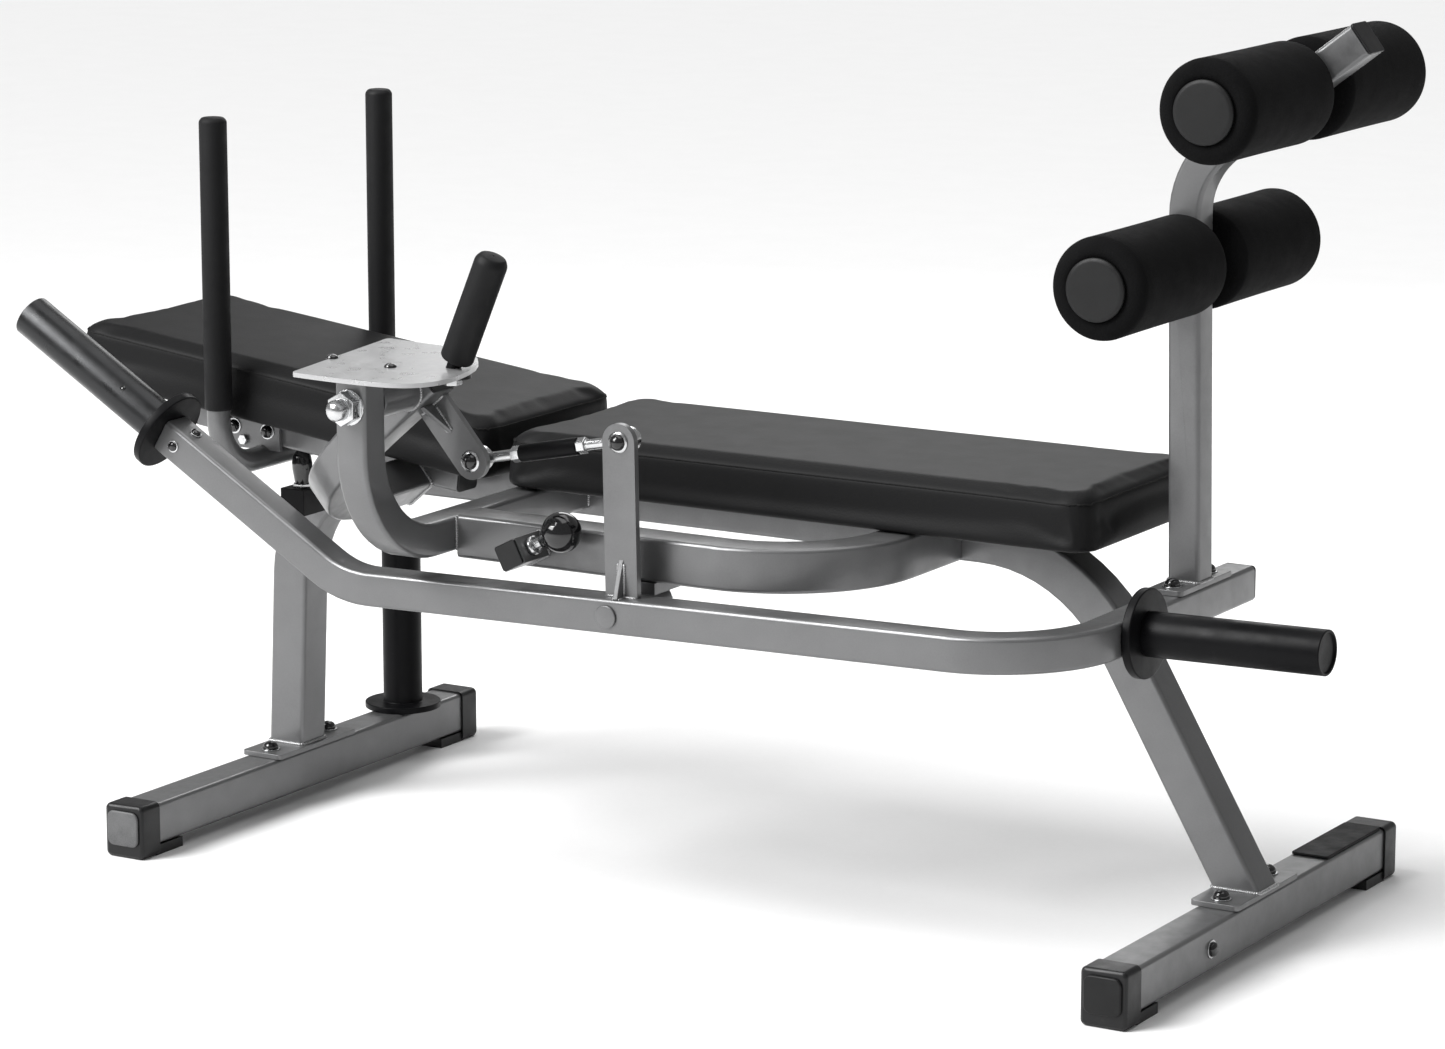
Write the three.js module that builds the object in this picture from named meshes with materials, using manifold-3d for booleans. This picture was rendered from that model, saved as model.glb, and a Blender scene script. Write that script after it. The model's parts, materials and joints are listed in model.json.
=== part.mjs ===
// Decline sit-up bench with a lever-linked back rest. Millimetres, +Z up, the head end towards -X,
// the foot rollers towards +X, and the weight lever on the -Y side.
import * as THREE from 'three';
import { mergeVertices } from 'three/addons/utils/BufferGeometryUtils.js';
import Module from 'manifold-3d';

const wasm = await Module();
wasm.setup();

// ---- Driving dimensions ---------------------------------------------------------------------
const GAP = 0.3; // left between pieces that touch

const FRAME_TUBE = 50; // square tube of the feet, post, spine, leg and side rail
const LIGHT_TUBE = 40; // square tube of the fixed arm, the lever and the back pad's rail
const ARM_TUBE = 45; // square tube of the moving arm
const ROLLER_TUBE = 38; // square tube of the roller post
const TUBE_CORNER = 5; // outer corner radius of the square tubes

const SOLE = 12; // height of the rubber sole under a foot tube
const FOOT_HALF = 318; // half of the bare length of a foot tube
const CAP_LENGTH = 34; // how far a foot cap stands out past the bare tube
const REAR_FOOT_X = 0;
const FRONT_FOOT_X = 1282;
const CAP_WALL = 2.5;
const SOLE_REACH = 46; // how far a sole runs in under the bare tube
const FLANGE = { thick: 6, width: 58, length: 160 };

const SPINE_Z = 425; // middle of the spine and of the side rail
const POST_LEAN = 2.5; // degrees
const LEG_LEAN = 30.3; // degrees from upright
const POST_BEND = 150;
const LEG_BEND = 200;

const RAIL_Y = -275;
const RAIL_END_X = 910;
const RAIL_BEND = 140;
const PIN_ANGLE = 27; // degrees, the pop-pin's slope up towards +X
const PIN_HOUSING = { x: 546, z: 424, size: 30, length: 50, bore: 6.3 };

const PIVOT = { x: 421, z: 597 }; // axis of the back rest
const FIXED_ARM_Y = -454;
const FIXED_ARM_Z = 428;
const FIXED_ARM_BEND = 118;
const TOP_PLATE = { z: 637, thick: 5 };
const BOLT_RADIUS = 10;

const ARM_Y = -343.5; // middle of the moving arm
const ARM_ANGLE = 40.5; // degrees above level, towards +X
const ARM_ABOVE_PIVOT = 28;
const ARM_BELOW_PIVOT = 255;
const ARM_BEND = 180;
const CRANK_REACH = 100;

const LEVER_PIVOT = { x: 671, z: 369 };
const LEVER_Y = -331;
const LEVER_TILT = 1.1; // degrees, rollers up, as it rests
const LEVER_RISE = 32.3; // degrees between the level run and the raised rear end
const LEVER_BEND = 119;
const LEVER_REAR_REACH = 356.7;
const LEVER_REAR_RUN = 290;
const LEVER_FRONT_REACH = 535;
const LEVER_END_Y = 125;
const LEVER_BEARING = { radius: 17.5, bore: 10, y0: -305, y1: -240 };

const POST_CORNER_Z = 476; // roller post, above the lever's axis
const POST_UPPER_RISE = 36.2; // degrees above the lever's level run
const POST_UPPER_RUN = 251;
const POST_UPPER_BEND = 95;
const LOWER_AXLE_Z = 376;
const UPPER_AXLE_RUN = 153;
const AXLE_RADIUS = 9.5;
const ROLLER = { radius: 55.5, inner: 21, outer: 227, cap: 34 };

const HORN_RADIUS = 24.7; // takes plates with a 50 mm bore
const COLLAR = { radius: 49, thick: 10 };

const LINK_PLATE = { y: -333, thick: 8 }; // crank plate and strut plate
const LINK_EYE = { y0: -328.5, y1: -311, radius: 14 };
const STRUT_PIN = { x: 679, z: 561 };

const PAD_WIDTH = 300;
const PAD_RIM = 18; // width of the cover's rim around the board
const BOARD = { thick: 7.7, inset: 20, corner: 20 };
const SEAT = { x0: 392, x1: 1157, rimZ: 451, boardZ: 455.6, topZ: 515 };
const SEAT_BRACKET = { half: 25, reach: 110, thick: 5, places: { rear: 505, front: 960 } };
const BACK = { x: 75.4, z: 518.2, tilt: 6.75, length: 612, top: 40, under: -30.7 };
const BUMPER = { x: 55, y: -60, bracketHalf: 17, bracketZ: 370, bracketTop: 402 };
const STORAGE_HORN = { x: -3, y: 228, top: 285, collar: 48, collarThick: 8 };
const BACK_RAIL = { y: -60, x0: -155, x1: 226 };
const HANDLE = { x: 14, y: 169, z: 438, radius: 14, bend: 60, gripFoot: 509, gripTop: 857 };

// ---- Finishes -------------------------------------------------------------------------------
const FINISHES = {
  silver: { color: 0xa9abad, roughness: 0.42, metalness: 0.55 },
  zinc: { color: 0xd0d2d4, roughness: 0.25, metalness: 0.9 },
  blackSteel: { color: 0x1d1d1f, roughness: 0.4, metalness: 0.4 },
  plastic: { color: 0x17171a, roughness: 0.45, metalness: 0 },
  rubber: { color: 0x101012, roughness: 0.75, metalness: 0 },
  vinyl: { color: 0x232325, roughness: 0.55, metalness: 0 },
  foam: { color: 0x0d0d0e, roughness: 0.9, metalness: 0 },
};

// ---- Geometry helpers -----------------------------------------------------------------------
const radians = THREE.MathUtils.degToRad;
const point = (x, y, z) => new THREE.Vector3(x, y, z);

/** Straight runs joined by round bends; its spaced points are the run ends and the bends' steps. */
class BentLine extends THREE.Curve {
  constructor(corners, stepDegrees = 6) {
    super();
    this.stations = [];
    const last = corners.length - 1;
    corners.forEach(([place, radius], index) => {
      if (index === 0 || index === last) {
        const other = corners[index === 0 ? 1 : last - 1][0];
        const tangent = index === 0 ? other.clone().sub(place) : place.clone().sub(other);
        this.stations.push([place, tangent.normalize()]);
        return;
      }
      const into = place.clone().sub(corners[index - 1][0]).normalize();
      const out = corners[index + 1][0].clone().sub(place).normalize();
      const turn = into.angleTo(out);
      const trim = radius * Math.tan(turn / 2);
      const start = place.clone().addScaledVector(into, -trim);
      const axis = into.clone().cross(out).normalize();
      const inward = axis.clone().cross(into).normalize();
      const centre = start.clone().addScaledVector(inward, radius);
      const steps = Math.max(2, Math.ceil(THREE.MathUtils.radToDeg(turn) / stepDegrees));
      for (let step = 0; step <= steps; step++) {
        const angle = (turn * step) / steps;
        const spoke = inward.clone().multiplyScalar(-radius).applyAxisAngle(axis, angle);
        this.stations.push([centre.clone().add(spoke), into.clone().applyAxisAngle(axis, angle)]);
      }
    });
  }

  get steps() {
    return this.stations.length - 1;
  }

  getPointAt(u) {
    return this.stations[Math.round(u * this.steps)][0].clone();
  }

  getTangentAt(u) {
    return this.stations[Math.round(u * this.steps)][1].clone();
  }

  getSpacedPoints() {
    return this.stations.map(([place]) => place.clone());
  }
}

/** A rectangle with round corners, centred on the origin. */
function roundedRectangle(width, height, radius) {
  const x = width / 2;
  const y = height / 2;
  const shape = new THREE.Shape();
  shape.moveTo(-x + radius, -y);
  shape.lineTo(x - radius, -y);
  shape.absarc(x - radius, -y + radius, radius, -Math.PI / 2, 0);
  shape.lineTo(x, y - radius);
  shape.absarc(x - radius, y - radius, radius, 0, Math.PI / 2);
  shape.lineTo(-x + radius, y);
  shape.absarc(-x + radius, y - radius, radius, Math.PI / 2, Math.PI);
  shape.lineTo(-x, -y + radius);
  shape.absarc(-x + radius, -y + radius, radius, Math.PI, Math.PI * 1.5);
  return shape;
}

/** Sweeps a section along straight runs and bends. */
function sweep(section, corners, curveSegments) {
  const path = new BentLine(corners);
  return new THREE.ExtrudeGeometry(section, { extrudePath: path, steps: path.steps, curveSegments });
}

function squareTube(size, corners) {
  return sweep(roundedRectangle(size, size, TUBE_CORNER), corners, 1);
}

function block(x0, x1, y0, y1, z0, z1) {
  const geometry = new THREE.BoxGeometry(x1 - x0, y1 - y0, z1 - z0);
  return geometry.translate((x0 + x1) / 2, (y0 + y1) / 2, (z0 + z1) / 2);
}

/** A turned solid about the Y axis through (x, z); the profile is [radius, y] pairs. */
function turnedY(x, z, profile, segments = 28) {
  const outline = profile.map(([radius, y]) => new THREE.Vector2(radius, y));
  return new THREE.LatheGeometry(outline, segments).translate(x, 0, z);
}

function rodY(x, z, radius, y0, y1, segments = 28) {
  return turnedY(x, z, [[0, y0], [radius, y0], [radius, y1], [0, y1]], segments);
}

/** A plate in an XZ plane with the outline given in (x, z), its middle at the given y. */
function uprightPlate(outline, y, thickness, curveSegments = 6) {
  const geometry = new THREE.ExtrudeGeometry(outline, {
    depth: thickness,
    bevelEnabled: false,
    curveSegments,
  });
  return geometry.rotateX(Math.PI / 2).translate(0, y + thickness / 2, 0);
}

/** A level plate with the outline given in (x, y), standing on the given z. */
function levelPlate(outline, z, thickness, curveSegments = 6) {
  const settings = { depth: thickness, bevelEnabled: false, curveSegments };
  return new THREE.ExtrudeGeometry(outline, settings).translate(0, 0, z);
}

// ---- Cutting and joining --------------------------------------------------------------------
function toSolid(geometry) {
  const bare = geometry.clone();
  bare.deleteAttribute('normal');
  bare.deleteAttribute('uv');
  const merged = mergeVertices(bare, 1e-3);
  const mesh = new wasm.Mesh({
    numProp: 3,
    vertProperties: new Float32Array(merged.attributes.position.array),
    triVerts: new Uint32Array(merged.index.array),
  });
  return new wasm.Manifold(mesh);
}

function toGeometry(solid) {
  const mesh = solid.getMesh();
  const geometry = new THREE.BufferGeometry();
  geometry.setAttribute('position', new THREE.BufferAttribute(mesh.vertProperties, 3));
  geometry.setIndex(new THREE.BufferAttribute(mesh.triVerts, 1));
  const faceted = geometry.toNonIndexed();
  faceted.computeVertexNormals();
  return faceted;
}

function cut(geometry, ...tools) {
  return toGeometry(tools.reduce((solid, tool) => solid.subtract(toSolid(tool)), toSolid(geometry)));
}

function join(geometry, ...others) {
  return toGeometry(others.reduce((solid, other) => solid.add(toSolid(other)), toSolid(geometry)));
}

// ---- Assembly -------------------------------------------------------------------------------
const bench = new THREE.Group();
const lever = new THREE.Group(); // built level with its axis at the origin, then tilted
lever.position.set(LEVER_PIVOT.x, 0, LEVER_PIVOT.z);
lever.rotation.y = -radians(LEVER_TILT);
const back = new THREE.Group(); // x runs down the back pad to its low end, z out of its top
back.position.set(BACK.x, 0, BACK.z);
back.rotation.y = radians(BACK.tilt);
bench.add(lever, back);

function add(name, geometry, finish, group = bench) {
  const mesh = new THREE.Mesh(geometry, new THREE.MeshStandardMaterial(FINISHES[finish]));
  mesh.name = name;
  group.add(mesh);
}

const HALF = FRAME_TUBE / 2;
const LIGHT_HALF = LIGHT_TUBE / 2;
const FOOT_TOP = SOLE + FRAME_TUBE;
const FLANGE_Z = FOOT_TOP + GAP;
const POST_Z = FLANGE_Z + FLANGE.thick + GAP;
const SPINE_TOP = SPINE_Z + HALF;
const ARM_ALONG = point(Math.cos(radians(ARM_ANGLE)), 0, Math.sin(radians(ARM_ANGLE)));
const CRANK_PIN = {
  x: PIVOT.x + CRANK_REACH * Math.sin(radians(ARM_ANGLE)),
  z: PIVOT.z - CRANK_REACH * Math.cos(radians(ARM_ANGLE)),
};

/** A ground foot: the tube, and a sleeve cap with its rubber sole on either end. */
function addFoot(name, x) {
  const end = FOOT_HALF + CAP_LENGTH;
  const tubeEnd = end - 2 * CAP_WALL;
  const run = [[point(x, -tubeEnd, SOLE + HALF)], [point(x, tubeEnd, SOLE + HALF)]];
  add(`${name}_foot_tube`, squareTube(FRAME_TUBE, run), 'silver');
  const wide = FRAME_TUBE + 2 * CAP_WALL;
  const tall = FOOT_TOP + CAP_WALL;
  const ease = 4;
  const solid = new THREE.ExtrudeGeometry(roundedRectangle(wide - 2 * ease, tall - 2 * ease, 3), {
    depth: CAP_LENGTH,
    bevelThickness: ease,
    bevelSize: ease,
    bevelSegments: 2,
    curveSegments: 2,
  });
  solid.rotateX(Math.PI / 2).translate(x, end - ease, tall / 2);
  const inner = HALF + GAP;
  const pocket = block(x - inner, x + inner, 0, tubeEnd + GAP, SOLE - GAP, FOOT_TOP + GAP);
  const mouth = block(x - wide, x + wide, 0, FOOT_HALF, -1, tall + 1);
  const sole = block(x - HALF, x + HALF, FOOT_HALF - SOLE_REACH, FOOT_HALF + ease, 0, SOLE - GAP);
  const cap = join(cut(solid, pocket, mouth), sole);
  add(`${name}_foot_cap_far`, cap, 'plastic');
  add(`${name}_foot_cap_near`, toGeometry(toSolid(cap).scale([1, -1, 1])), 'plastic');
}

/** A bolted base plate with round corners, longer along Y. */
function basePlate(x, z, width, length) {
  return levelPlate(roundedRectangle(width, length, 6), z, FLANGE.thick, 2).translate(x, 0, 0);
}

/** Rear post, spine and front leg: one bent tube, cut off level above the base plates. */
function addMainFrame() {
  const rise = SPINE_Z - POST_Z;
  const below = 30;
  const postRun = Math.tan(radians(POST_LEAN));
  const legRun = Math.tan(radians(LEG_LEAN));
  const postX = REAR_FOOT_X - 3;
  const legX = FRONT_FOOT_X - 3;
  const tube = squareTube(FRAME_TUBE, [
    [point(postX - below * postRun, 0, POST_Z - below)],
    [point(postX + rise * postRun, 0, SPINE_Z), POST_BEND],
    [point(legX - rise * legRun, 0, SPINE_Z), LEG_BEND],
    [point(legX + below * legRun, 0, POST_Z - below)],
  ]);
  const ground = block(-200, 1600, -100, 100, -100, POST_Z);
  add('main_frame_tube', cut(tube, ground), 'silver');
  add('rear_foot_flange', basePlate(REAR_FOOT_X, FLANGE_Z, FLANGE.width, FLANGE.length), 'silver');
  add('front_foot_flange', basePlate(legX, FLANGE_Z, FLANGE.width, FLANGE.length), 'silver');
}

function addSideRail() {
  const start = PIVOT.x + LIGHT_HALF + GAP;
  const run = squareTube(FRAME_TUBE, [
    [point(start, RAIL_Y, SPINE_Z)],
    [point(RAIL_END_X, RAIL_Y, SPINE_Z), RAIL_BEND],
    [point(RAIL_END_X, -HALF - GAP, SPINE_Z)],
  ]);
  add('side_rail_tube', run, 'silver');
}

/** Pop-pin: a square housing on the rail, its end plug, and the pull knob on its pin. */
function addPopPin() {
  const housing = PIN_HOUSING;
  const face = RAIL_Y - HALF - GAP;
  const knobY = face - 28;
  const slope = radians(PIN_ANGLE);
  const place = (geometry) => geometry.rotateY(-slope).translate(housing.x, 0, housing.z);
  const half = housing.size / 2;
  const depth = half - 6; // the bore stops short of the housing's back
  const stub = block(-half, half, face - housing.length, face, -half, half);
  const bore = new THREE.CylinderGeometry(housing.bore, housing.bore, 40, 20);
  bore.rotateZ(Math.PI / 2).translate(20 - depth, knobY, 0);
  add('pin_housing', place(cut(stub, bore)), 'silver');

  const profile = [
    [0, 0.5 - depth], [6, 0.5 - depth], [6, 34], [11, 36], [14, 40], [18.5, 45], [21.8, 52],
    [22.8, 60], [21.4, 68], [16.5, 76], [9, 81], [0, 82.5],
  ].map(([radius, reach]) => new THREE.Vector2(radius, reach));
  const knob = new THREE.LatheGeometry(profile, 24).rotateZ(-Math.PI / 2).translate(0, knobY, 0);
  add('pull_pin', place(knob), 'rubber');
}

/** The fixed arm that rises from the spine, the fan-shaped plate on it and the side grip. */
function addFixedArm() {
  const tube = squareTube(LIGHT_TUBE, [
    [point(PIVOT.x, FIXED_ARM_Y, TOP_PLATE.z - GAP)],
    [point(PIVOT.x, FIXED_ARM_Y, FIXED_ARM_Z), FIXED_ARM_BEND],
    [point(PIVOT.x, -HALF - GAP, FIXED_ARM_Z)],
  ]);
  const reach = LIGHT_TUBE;
  const bore = rodY(PIVOT.x, PIVOT.z, BOLT_RADIUS + GAP, FIXED_ARM_Y - reach, FIXED_ARM_Y + reach);
  add('fixed_arm_tube', cut(tube, bore), 'silver');

  const plate = new THREE.Shape();
  plate.moveTo(396, -537);
  plate.quadraticCurveTo(390, -537, 388, -530);
  plate.lineTo(351, -306);
  plate.quadraticCurveTo(350, -298, 358, -299);
  plate.lineTo(435, -310);
  plate.bezierCurveTo(492, -325, 540, -372, 556, -463);
  plate.bezierCurveTo(562, -512, 545, -536, 509, -541);
  plate.bezierCurveTo(470, -545, 430, -541, 396, -537);
  add('top_plate', levelPlate(plate, TOP_PLATE.z, TOP_PLATE.thick, 8), 'silver');

  const grip = { x: 523, y: -423, z: TOP_PLATE.z + TOP_PLATE.thick + GAP, lean: 23, length: 137 };
  const place = (geometry) =>
    geometry.rotateX(Math.PI / 2).rotateY(radians(grip.lean)).translate(grip.x, grip.y, grip.z);
  const sleeveOutline = [
    [8.3, 9], [17.5, 9], [18.5, 11], [18.5, grip.length - 7], [15.5, grip.length - 1.5],
    [10, grip.length], [0, grip.length], [0, grip.length - 5.7], [8.3, grip.length - 5.7],
    [8.3, 9],
  ].map(([radius, height]) => new THREE.Vector2(radius, height));
  add('side_grip', place(new THREE.LatheGeometry(sleeveOutline, 24)), 'rubber');
  const stem = new THREE.CylinderGeometry(8, 8, grip.length + 14, 20);
  stem.translate(0, grip.length / 2 - 13, 0);
  const under = block(grip.x - 60, grip.x + 60, grip.y - 60, grip.y + 60, grip.z - 60, grip.z);
  add('side_grip_stem', cut(place(stem), under), 'blackSteel');
}

/** The back rest's pivot bolt: washer, hexagon head with a round end, and the shank. */
function addPivotBolt() {
  const face = FIXED_ARM_Y - LIGHT_HALF - GAP;
  const washer = rodY(PIVOT.x, PIVOT.z, 20, face - 3, face);
  const head = rodY(PIVOT.x, PIVOT.z, 19, face - 17, face - 2, 6);
  const end = turnedY(PIVOT.x, PIVOT.z, [
    [0, face - 33], [8, face - 32], [11.5, face - 28], [12, face - 16], [0, face - 16],
  ]);
  const shankEnd = ARM_Y + ARM_TUBE / 2 + 12;
  const shank = rodY(PIVOT.x, PIVOT.z, BOLT_RADIUS, face - 10, shankEnd);
  add('pivot_bolt', join(washer, head, end, shank), 'zinc');
}

/** The lever's bearing tube under the side rail, and the block that carries it. */
function addLeverBearing() {
  const { radius, y0, y1 } = LEVER_BEARING;
  const tube = rodY(LEVER_PIVOT.x, LEVER_PIVOT.z, radius, y0, y1);
  const bore = rodY(LEVER_PIVOT.x, LEVER_PIVOT.z, LEVER_BEARING.bore, y0 - 5, y1 + 5);
  add('lever_pivot_tube', cut(tube, bore), 'silver');
  const x = LEVER_PIVOT.x;
  const low = LEVER_PIVOT.z + radius + GAP;
  const high = SPINE_Z - HALF - GAP;
  add('lever_pivot_bracket', block(x - 31, x + 31, y0 + 5, y1 - 5, low, high), 'silver');
}

/** A horn for spare plates, standing on the rear foot's far side. */
function addStorageHorn() {
  const base = FLANGE_Z;
  const { x, y, top, collar, collarThick } = STORAGE_HORN;
  const outline = [
    [0, base], [collar, base], [collar, base + collarThick], [HORN_RADIUS, base + collarThick],
    [HORN_RADIUS, top - 3], [HORN_RADIUS - 3, top], [0, top],
  ].map(([radius, height]) => new THREE.Vector2(radius, height));
  const horn = new THREE.LatheGeometry(outline, 32).rotateX(Math.PI / 2);
  add('storage_horn', horn.translate(REAR_FOOT_X + x, y, 0), 'blackSteel');
}

/** The block on the post's near side and the rubber stop that the back rest lies on. */
function addBumper() {
  const { x, y, bracketHalf, bracketZ, bracketTop } = BUMPER;
  const near = y - 22;
  const bracket = block(x - bracketHalf, x + bracketHalf, near, -HALF - GAP, bracketZ, bracketTop);
  add('bumper_bracket', bracket, 'blackSteel');
  const foot = bracketTop + GAP;
  const profile = [
    [0, foot], [9, foot], [9, foot + 6], [11, foot + 14], [12.5, foot + 26], [11, foot + 38],
    [6, foot + 44.8], [0, foot + 45.8],
  ].map(([radius, height]) => new THREE.Vector2(radius, height));
  const bumper = new THREE.LatheGeometry(profile, 24).rotateX(Math.PI / 2);
  add('rubber_bumper', bumper.translate(x, y, 0), 'rubber');
}

/** A pad with eased edges between two heights, its rim reaching down round a board's space. */
function padSolid(length, low, boardTop, high) {
  const ease = 8;
  const geometry = new THREE.ExtrudeGeometry(
    roundedRectangle(length - 2 * ease, PAD_WIDTH - 2 * ease, 30),
    {
      depth: high - low - 2 * ease,
      bevelThickness: ease,
      bevelSize: ease,
      bevelSegments: 2,
      curveSegments: 3,
    },
  );
  const x = length / 2 - PAD_RIM;
  const y = PAD_WIDTH / 2 - PAD_RIM;
  return cut(geometry.translate(0, 0, low + ease), block(-x, x, -y, y, low - 1, boardTop + GAP));
}

function boardSolid(length, low) {
  const { thick, inset, corner } = BOARD;
  const outline = roundedRectangle(length - 2 * inset, PAD_WIDTH - 2 * inset, corner);
  return levelPlate(outline, low, thick, 3);
}

function addSeat() {
  const middle = (SEAT.x0 + SEAT.x1) / 2;
  const length = SEAT.x1 - SEAT.x0;
  const pad = padSolid(length, SEAT.rimZ, SEAT.boardZ + BOARD.thick, SEAT.topZ);
  add('seat_pad', pad.translate(middle, 0, 0), 'vinyl');
  add('seat_board', boardSolid(length, SEAT.boardZ).translate(middle, 0, 0), 'plastic');
  const low = SPINE_TOP + GAP;
  const high = SEAT.boardZ - GAP;
  const { half, reach, thick, places } = SEAT_BRACKET;
  for (const [name, x] of Object.entries(places)) {
    const cross = block(x - half, x + half, -reach, reach, low, high);
    const tab = block(x - half, x + half, -HALF - GAP - thick, -HALF - GAP, SPINE_Z, low + 1);
    add(`seat_bracket_${name}`, join(cross, tab), 'silver');
  }
}

/** The moving arm, from above its pivot down to its bend and across to the back pad's rail. */
function addMovingArm() {
  const pivot = point(PIVOT.x, ARM_Y, PIVOT.z);
  const bend = pivot.clone().addScaledVector(ARM_ALONG, -ARM_BELOW_PIVOT);
  const railFace = BACK_RAIL.y - LIGHT_HALF - GAP;
  const tube = squareTube(ARM_TUBE, [
    [pivot.clone().addScaledVector(ARM_ALONG, ARM_ABOVE_PIVOT)],
    [bend, ARM_BEND],
    [point(bend.x, railFace, bend.z)],
  ]);
  const bore = rodY(PIVOT.x, PIVOT.z, BOLT_RADIUS + GAP, ARM_Y - ARM_TUBE, ARM_Y + ARM_TUBE);
  add('moving_arm_tube', cut(tube, bore), 'silver');

  const near = FIXED_ARM_Y + LIGHT_HALF + GAP;
  const far = ARM_Y - ARM_TUBE / 2 - GAP;
  const housing = rodY(PIVOT.x, PIVOT.z, 20, near, far);
  const housingBore = rodY(PIVOT.x, PIVOT.z, BOLT_RADIUS + GAP, near - 5, far + 5);
  add('pivot_housing', cut(housing, housingBore), 'silver');
}

/** The crank plate on the moving arm's underside, drawn with the arm level, and its pin. */
function addCrank() {
  const halfWidth = 21;
  const root = -ARM_TUBE / 2 - GAP;
  const outline = new THREE.Shape();
  outline.moveTo(-halfWidth, root);
  outline.lineTo(-halfWidth, -CRANK_REACH);
  outline.absarc(0, -CRANK_REACH, halfWidth, Math.PI, Math.PI * 2);
  outline.lineTo(halfWidth, root);
  const plate = uprightPlate(outline, LINK_PLATE.y, LINK_PLATE.thick, 10);
  const hole = rodY(0, -CRANK_REACH, 4 + GAP, LINK_PLATE.y - 20, LINK_PLATE.y + 20, 20);
  const crank = cut(plate, hole).rotateY(-radians(ARM_ANGLE));
  add('crank_plate', crank.translate(PIVOT.x, 0, PIVOT.z), 'silver');
  add('crank_pin', linkPin(CRANK_PIN, 4), 'blackSteel');
}

/** A link pin: a domed head outside its plate, and a shank through the plate and the rod end. */
function linkPin({ x, z }, radius) {
  const face = LINK_PLATE.y - LINK_PLATE.thick / 2 - GAP;
  const end = LINK_EYE.y1 + 4;
  return turnedY(x, z, [
    [0, face - 9], [4.5, face - 8.2], [8, face - 5], [9.3, face - 1.5], [9.3, face],
    [radius, face], [radius, end], [0, end],
  ], 24);
}

function addBackPad() {
  const pad = padSolid(BACK.length, BACK.under, BACK.under + BOARD.thick, BACK.top);
  add('back_pad', pad, 'vinyl', back);
  add('back_board', boardSolid(BACK.length, BACK.under), 'plastic', back);
  const railZ = BACK.under - GAP - LIGHT_HALF;
  const rail = squareTube(LIGHT_TUBE, [
    [point(BACK_RAIL.x0, BACK_RAIL.y, railZ)],
    [point(BACK_RAIL.x1, BACK_RAIL.y, railZ)],
  ]);
  add('back_pad_rail', rail, 'silver', back);
}

/** Twin upright handles in one bent tube under the pad, each side with a long grip. */
function addHandles() {
  const { x, y, z, radius, bend, gripFoot, gripTop } = HANDLE;
  const tubeTop = gripTop - 6;
  const tube = sweep(new THREE.Shape().absarc(0, 0, radius, 0, Math.PI * 2), [
    [point(x, -y, tubeTop)],
    [point(x, -y, z), bend],
    [point(x, y, z), bend],
    [point(x, y, tubeTop)],
  ], 10);
  add('handle_tube', tube, 'silver');
  for (const [name, side] of [['near', -y], ['far', y]]) {
    const outline = [
      [radius + GAP, gripFoot], [16.5, gripFoot], [16.5, gripTop - 4], [14.5, gripTop - 0.5],
      [0, gripTop], [0, tubeTop + GAP], [radius + GAP, tubeTop + GAP], [radius + GAP, gripFoot],
    ].map(([reach, height]) => new THREE.Vector2(reach, height));
    const grip = new THREE.LatheGeometry(outline, 24).rotateX(Math.PI / 2);
    add(`handle_grip_${name}`, grip.translate(x, side, 0), 'rubber');
  }
  const face = BACK_RAIL.y - LIGHT_HALF - GAP;
  const plate = block(-38, 41, face - 5.7, face, 447, 482);
  const notch = rodY(x, z, radius + GAP, face - 20, face + 20);
  add('handle_bracket', cut(plate, notch), 'silver');
}

// ---- The lever, level, with its axis at the origin ------------------------------------------
function addLever() {
  const rise = radians(LEVER_RISE);
  const rearCorner = point(-LEVER_REAR_REACH, LEVER_Y, 0);
  const outward = point(-Math.cos(rise), 0, Math.sin(rise));
  const rearEnd = rearCorner.clone().addScaledVector(outward, LEVER_REAR_RUN);
  const tube = squareTube(LIGHT_TUBE, [
    [rearEnd],
    [rearCorner, LEVER_BEND],
    [point(LEVER_FRONT_REACH, LEVER_Y, 0), LEVER_BEND],
    [point(LEVER_FRONT_REACH, LEVER_END_Y, 0)],
  ]);
  add('lever_tube', cut(tube, rodY(0, 0, 10, LEVER_Y - 40, LEVER_Y + 40)), 'silver', lever);

  const near = LEVER_Y - LIGHT_HALF;
  const shaft = turnedY(0, 0, [
    [0, near - 3], [12, near - 3], [13, near - 2], [13, near - GAP], [9.7, near - GAP],
    [9.7, LEVER_BEARING.y1], [0, LEVER_BEARING.y1],
  ]);
  add('lever_pivot_shaft', shaft, 'silver', lever);
  addWeightHorn('rear', rearEnd, outward, 224);
  const frontRoot = point(LEVER_FRONT_REACH + LIGHT_HALF, -163, 0);
  addWeightHorn('front', frontRoot, point(1, 0, 0), 206);
  addStrut();
  addRollerPost();
}

/** A collar and a horn for weight plates, pointing outward from a root on the lever. */
function addWeightHorn(name, root, outward, length) {
  const turn = new THREE.Quaternion().setFromUnitVectors(point(0, 1, 0), outward);
  const place = (geometry, distance) => {
    geometry.translate(0, distance, 0).applyQuaternion(turn);
    return geometry.translate(root.x, root.y, root.z);
  };
  const ring = new THREE.CylinderGeometry(COLLAR.radius, COLLAR.radius, COLLAR.thick, 36);
  add(`${name}_collar`, place(ring, GAP + COLLAR.thick / 2), 'blackSteel', lever);
  const profile = [
    [0, 0], [HORN_RADIUS, 0], [HORN_RADIUS, length - 3], [HORN_RADIUS - 3, length], [0, length],
  ].map(([radius, height]) => new THREE.Vector2(radius, height));
  const horn = place(new THREE.LatheGeometry(profile, 32), 2 * GAP + COLLAR.thick);
  add(`${name}_weight_horn`, horn, 'blackSteel', lever);
}

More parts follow.
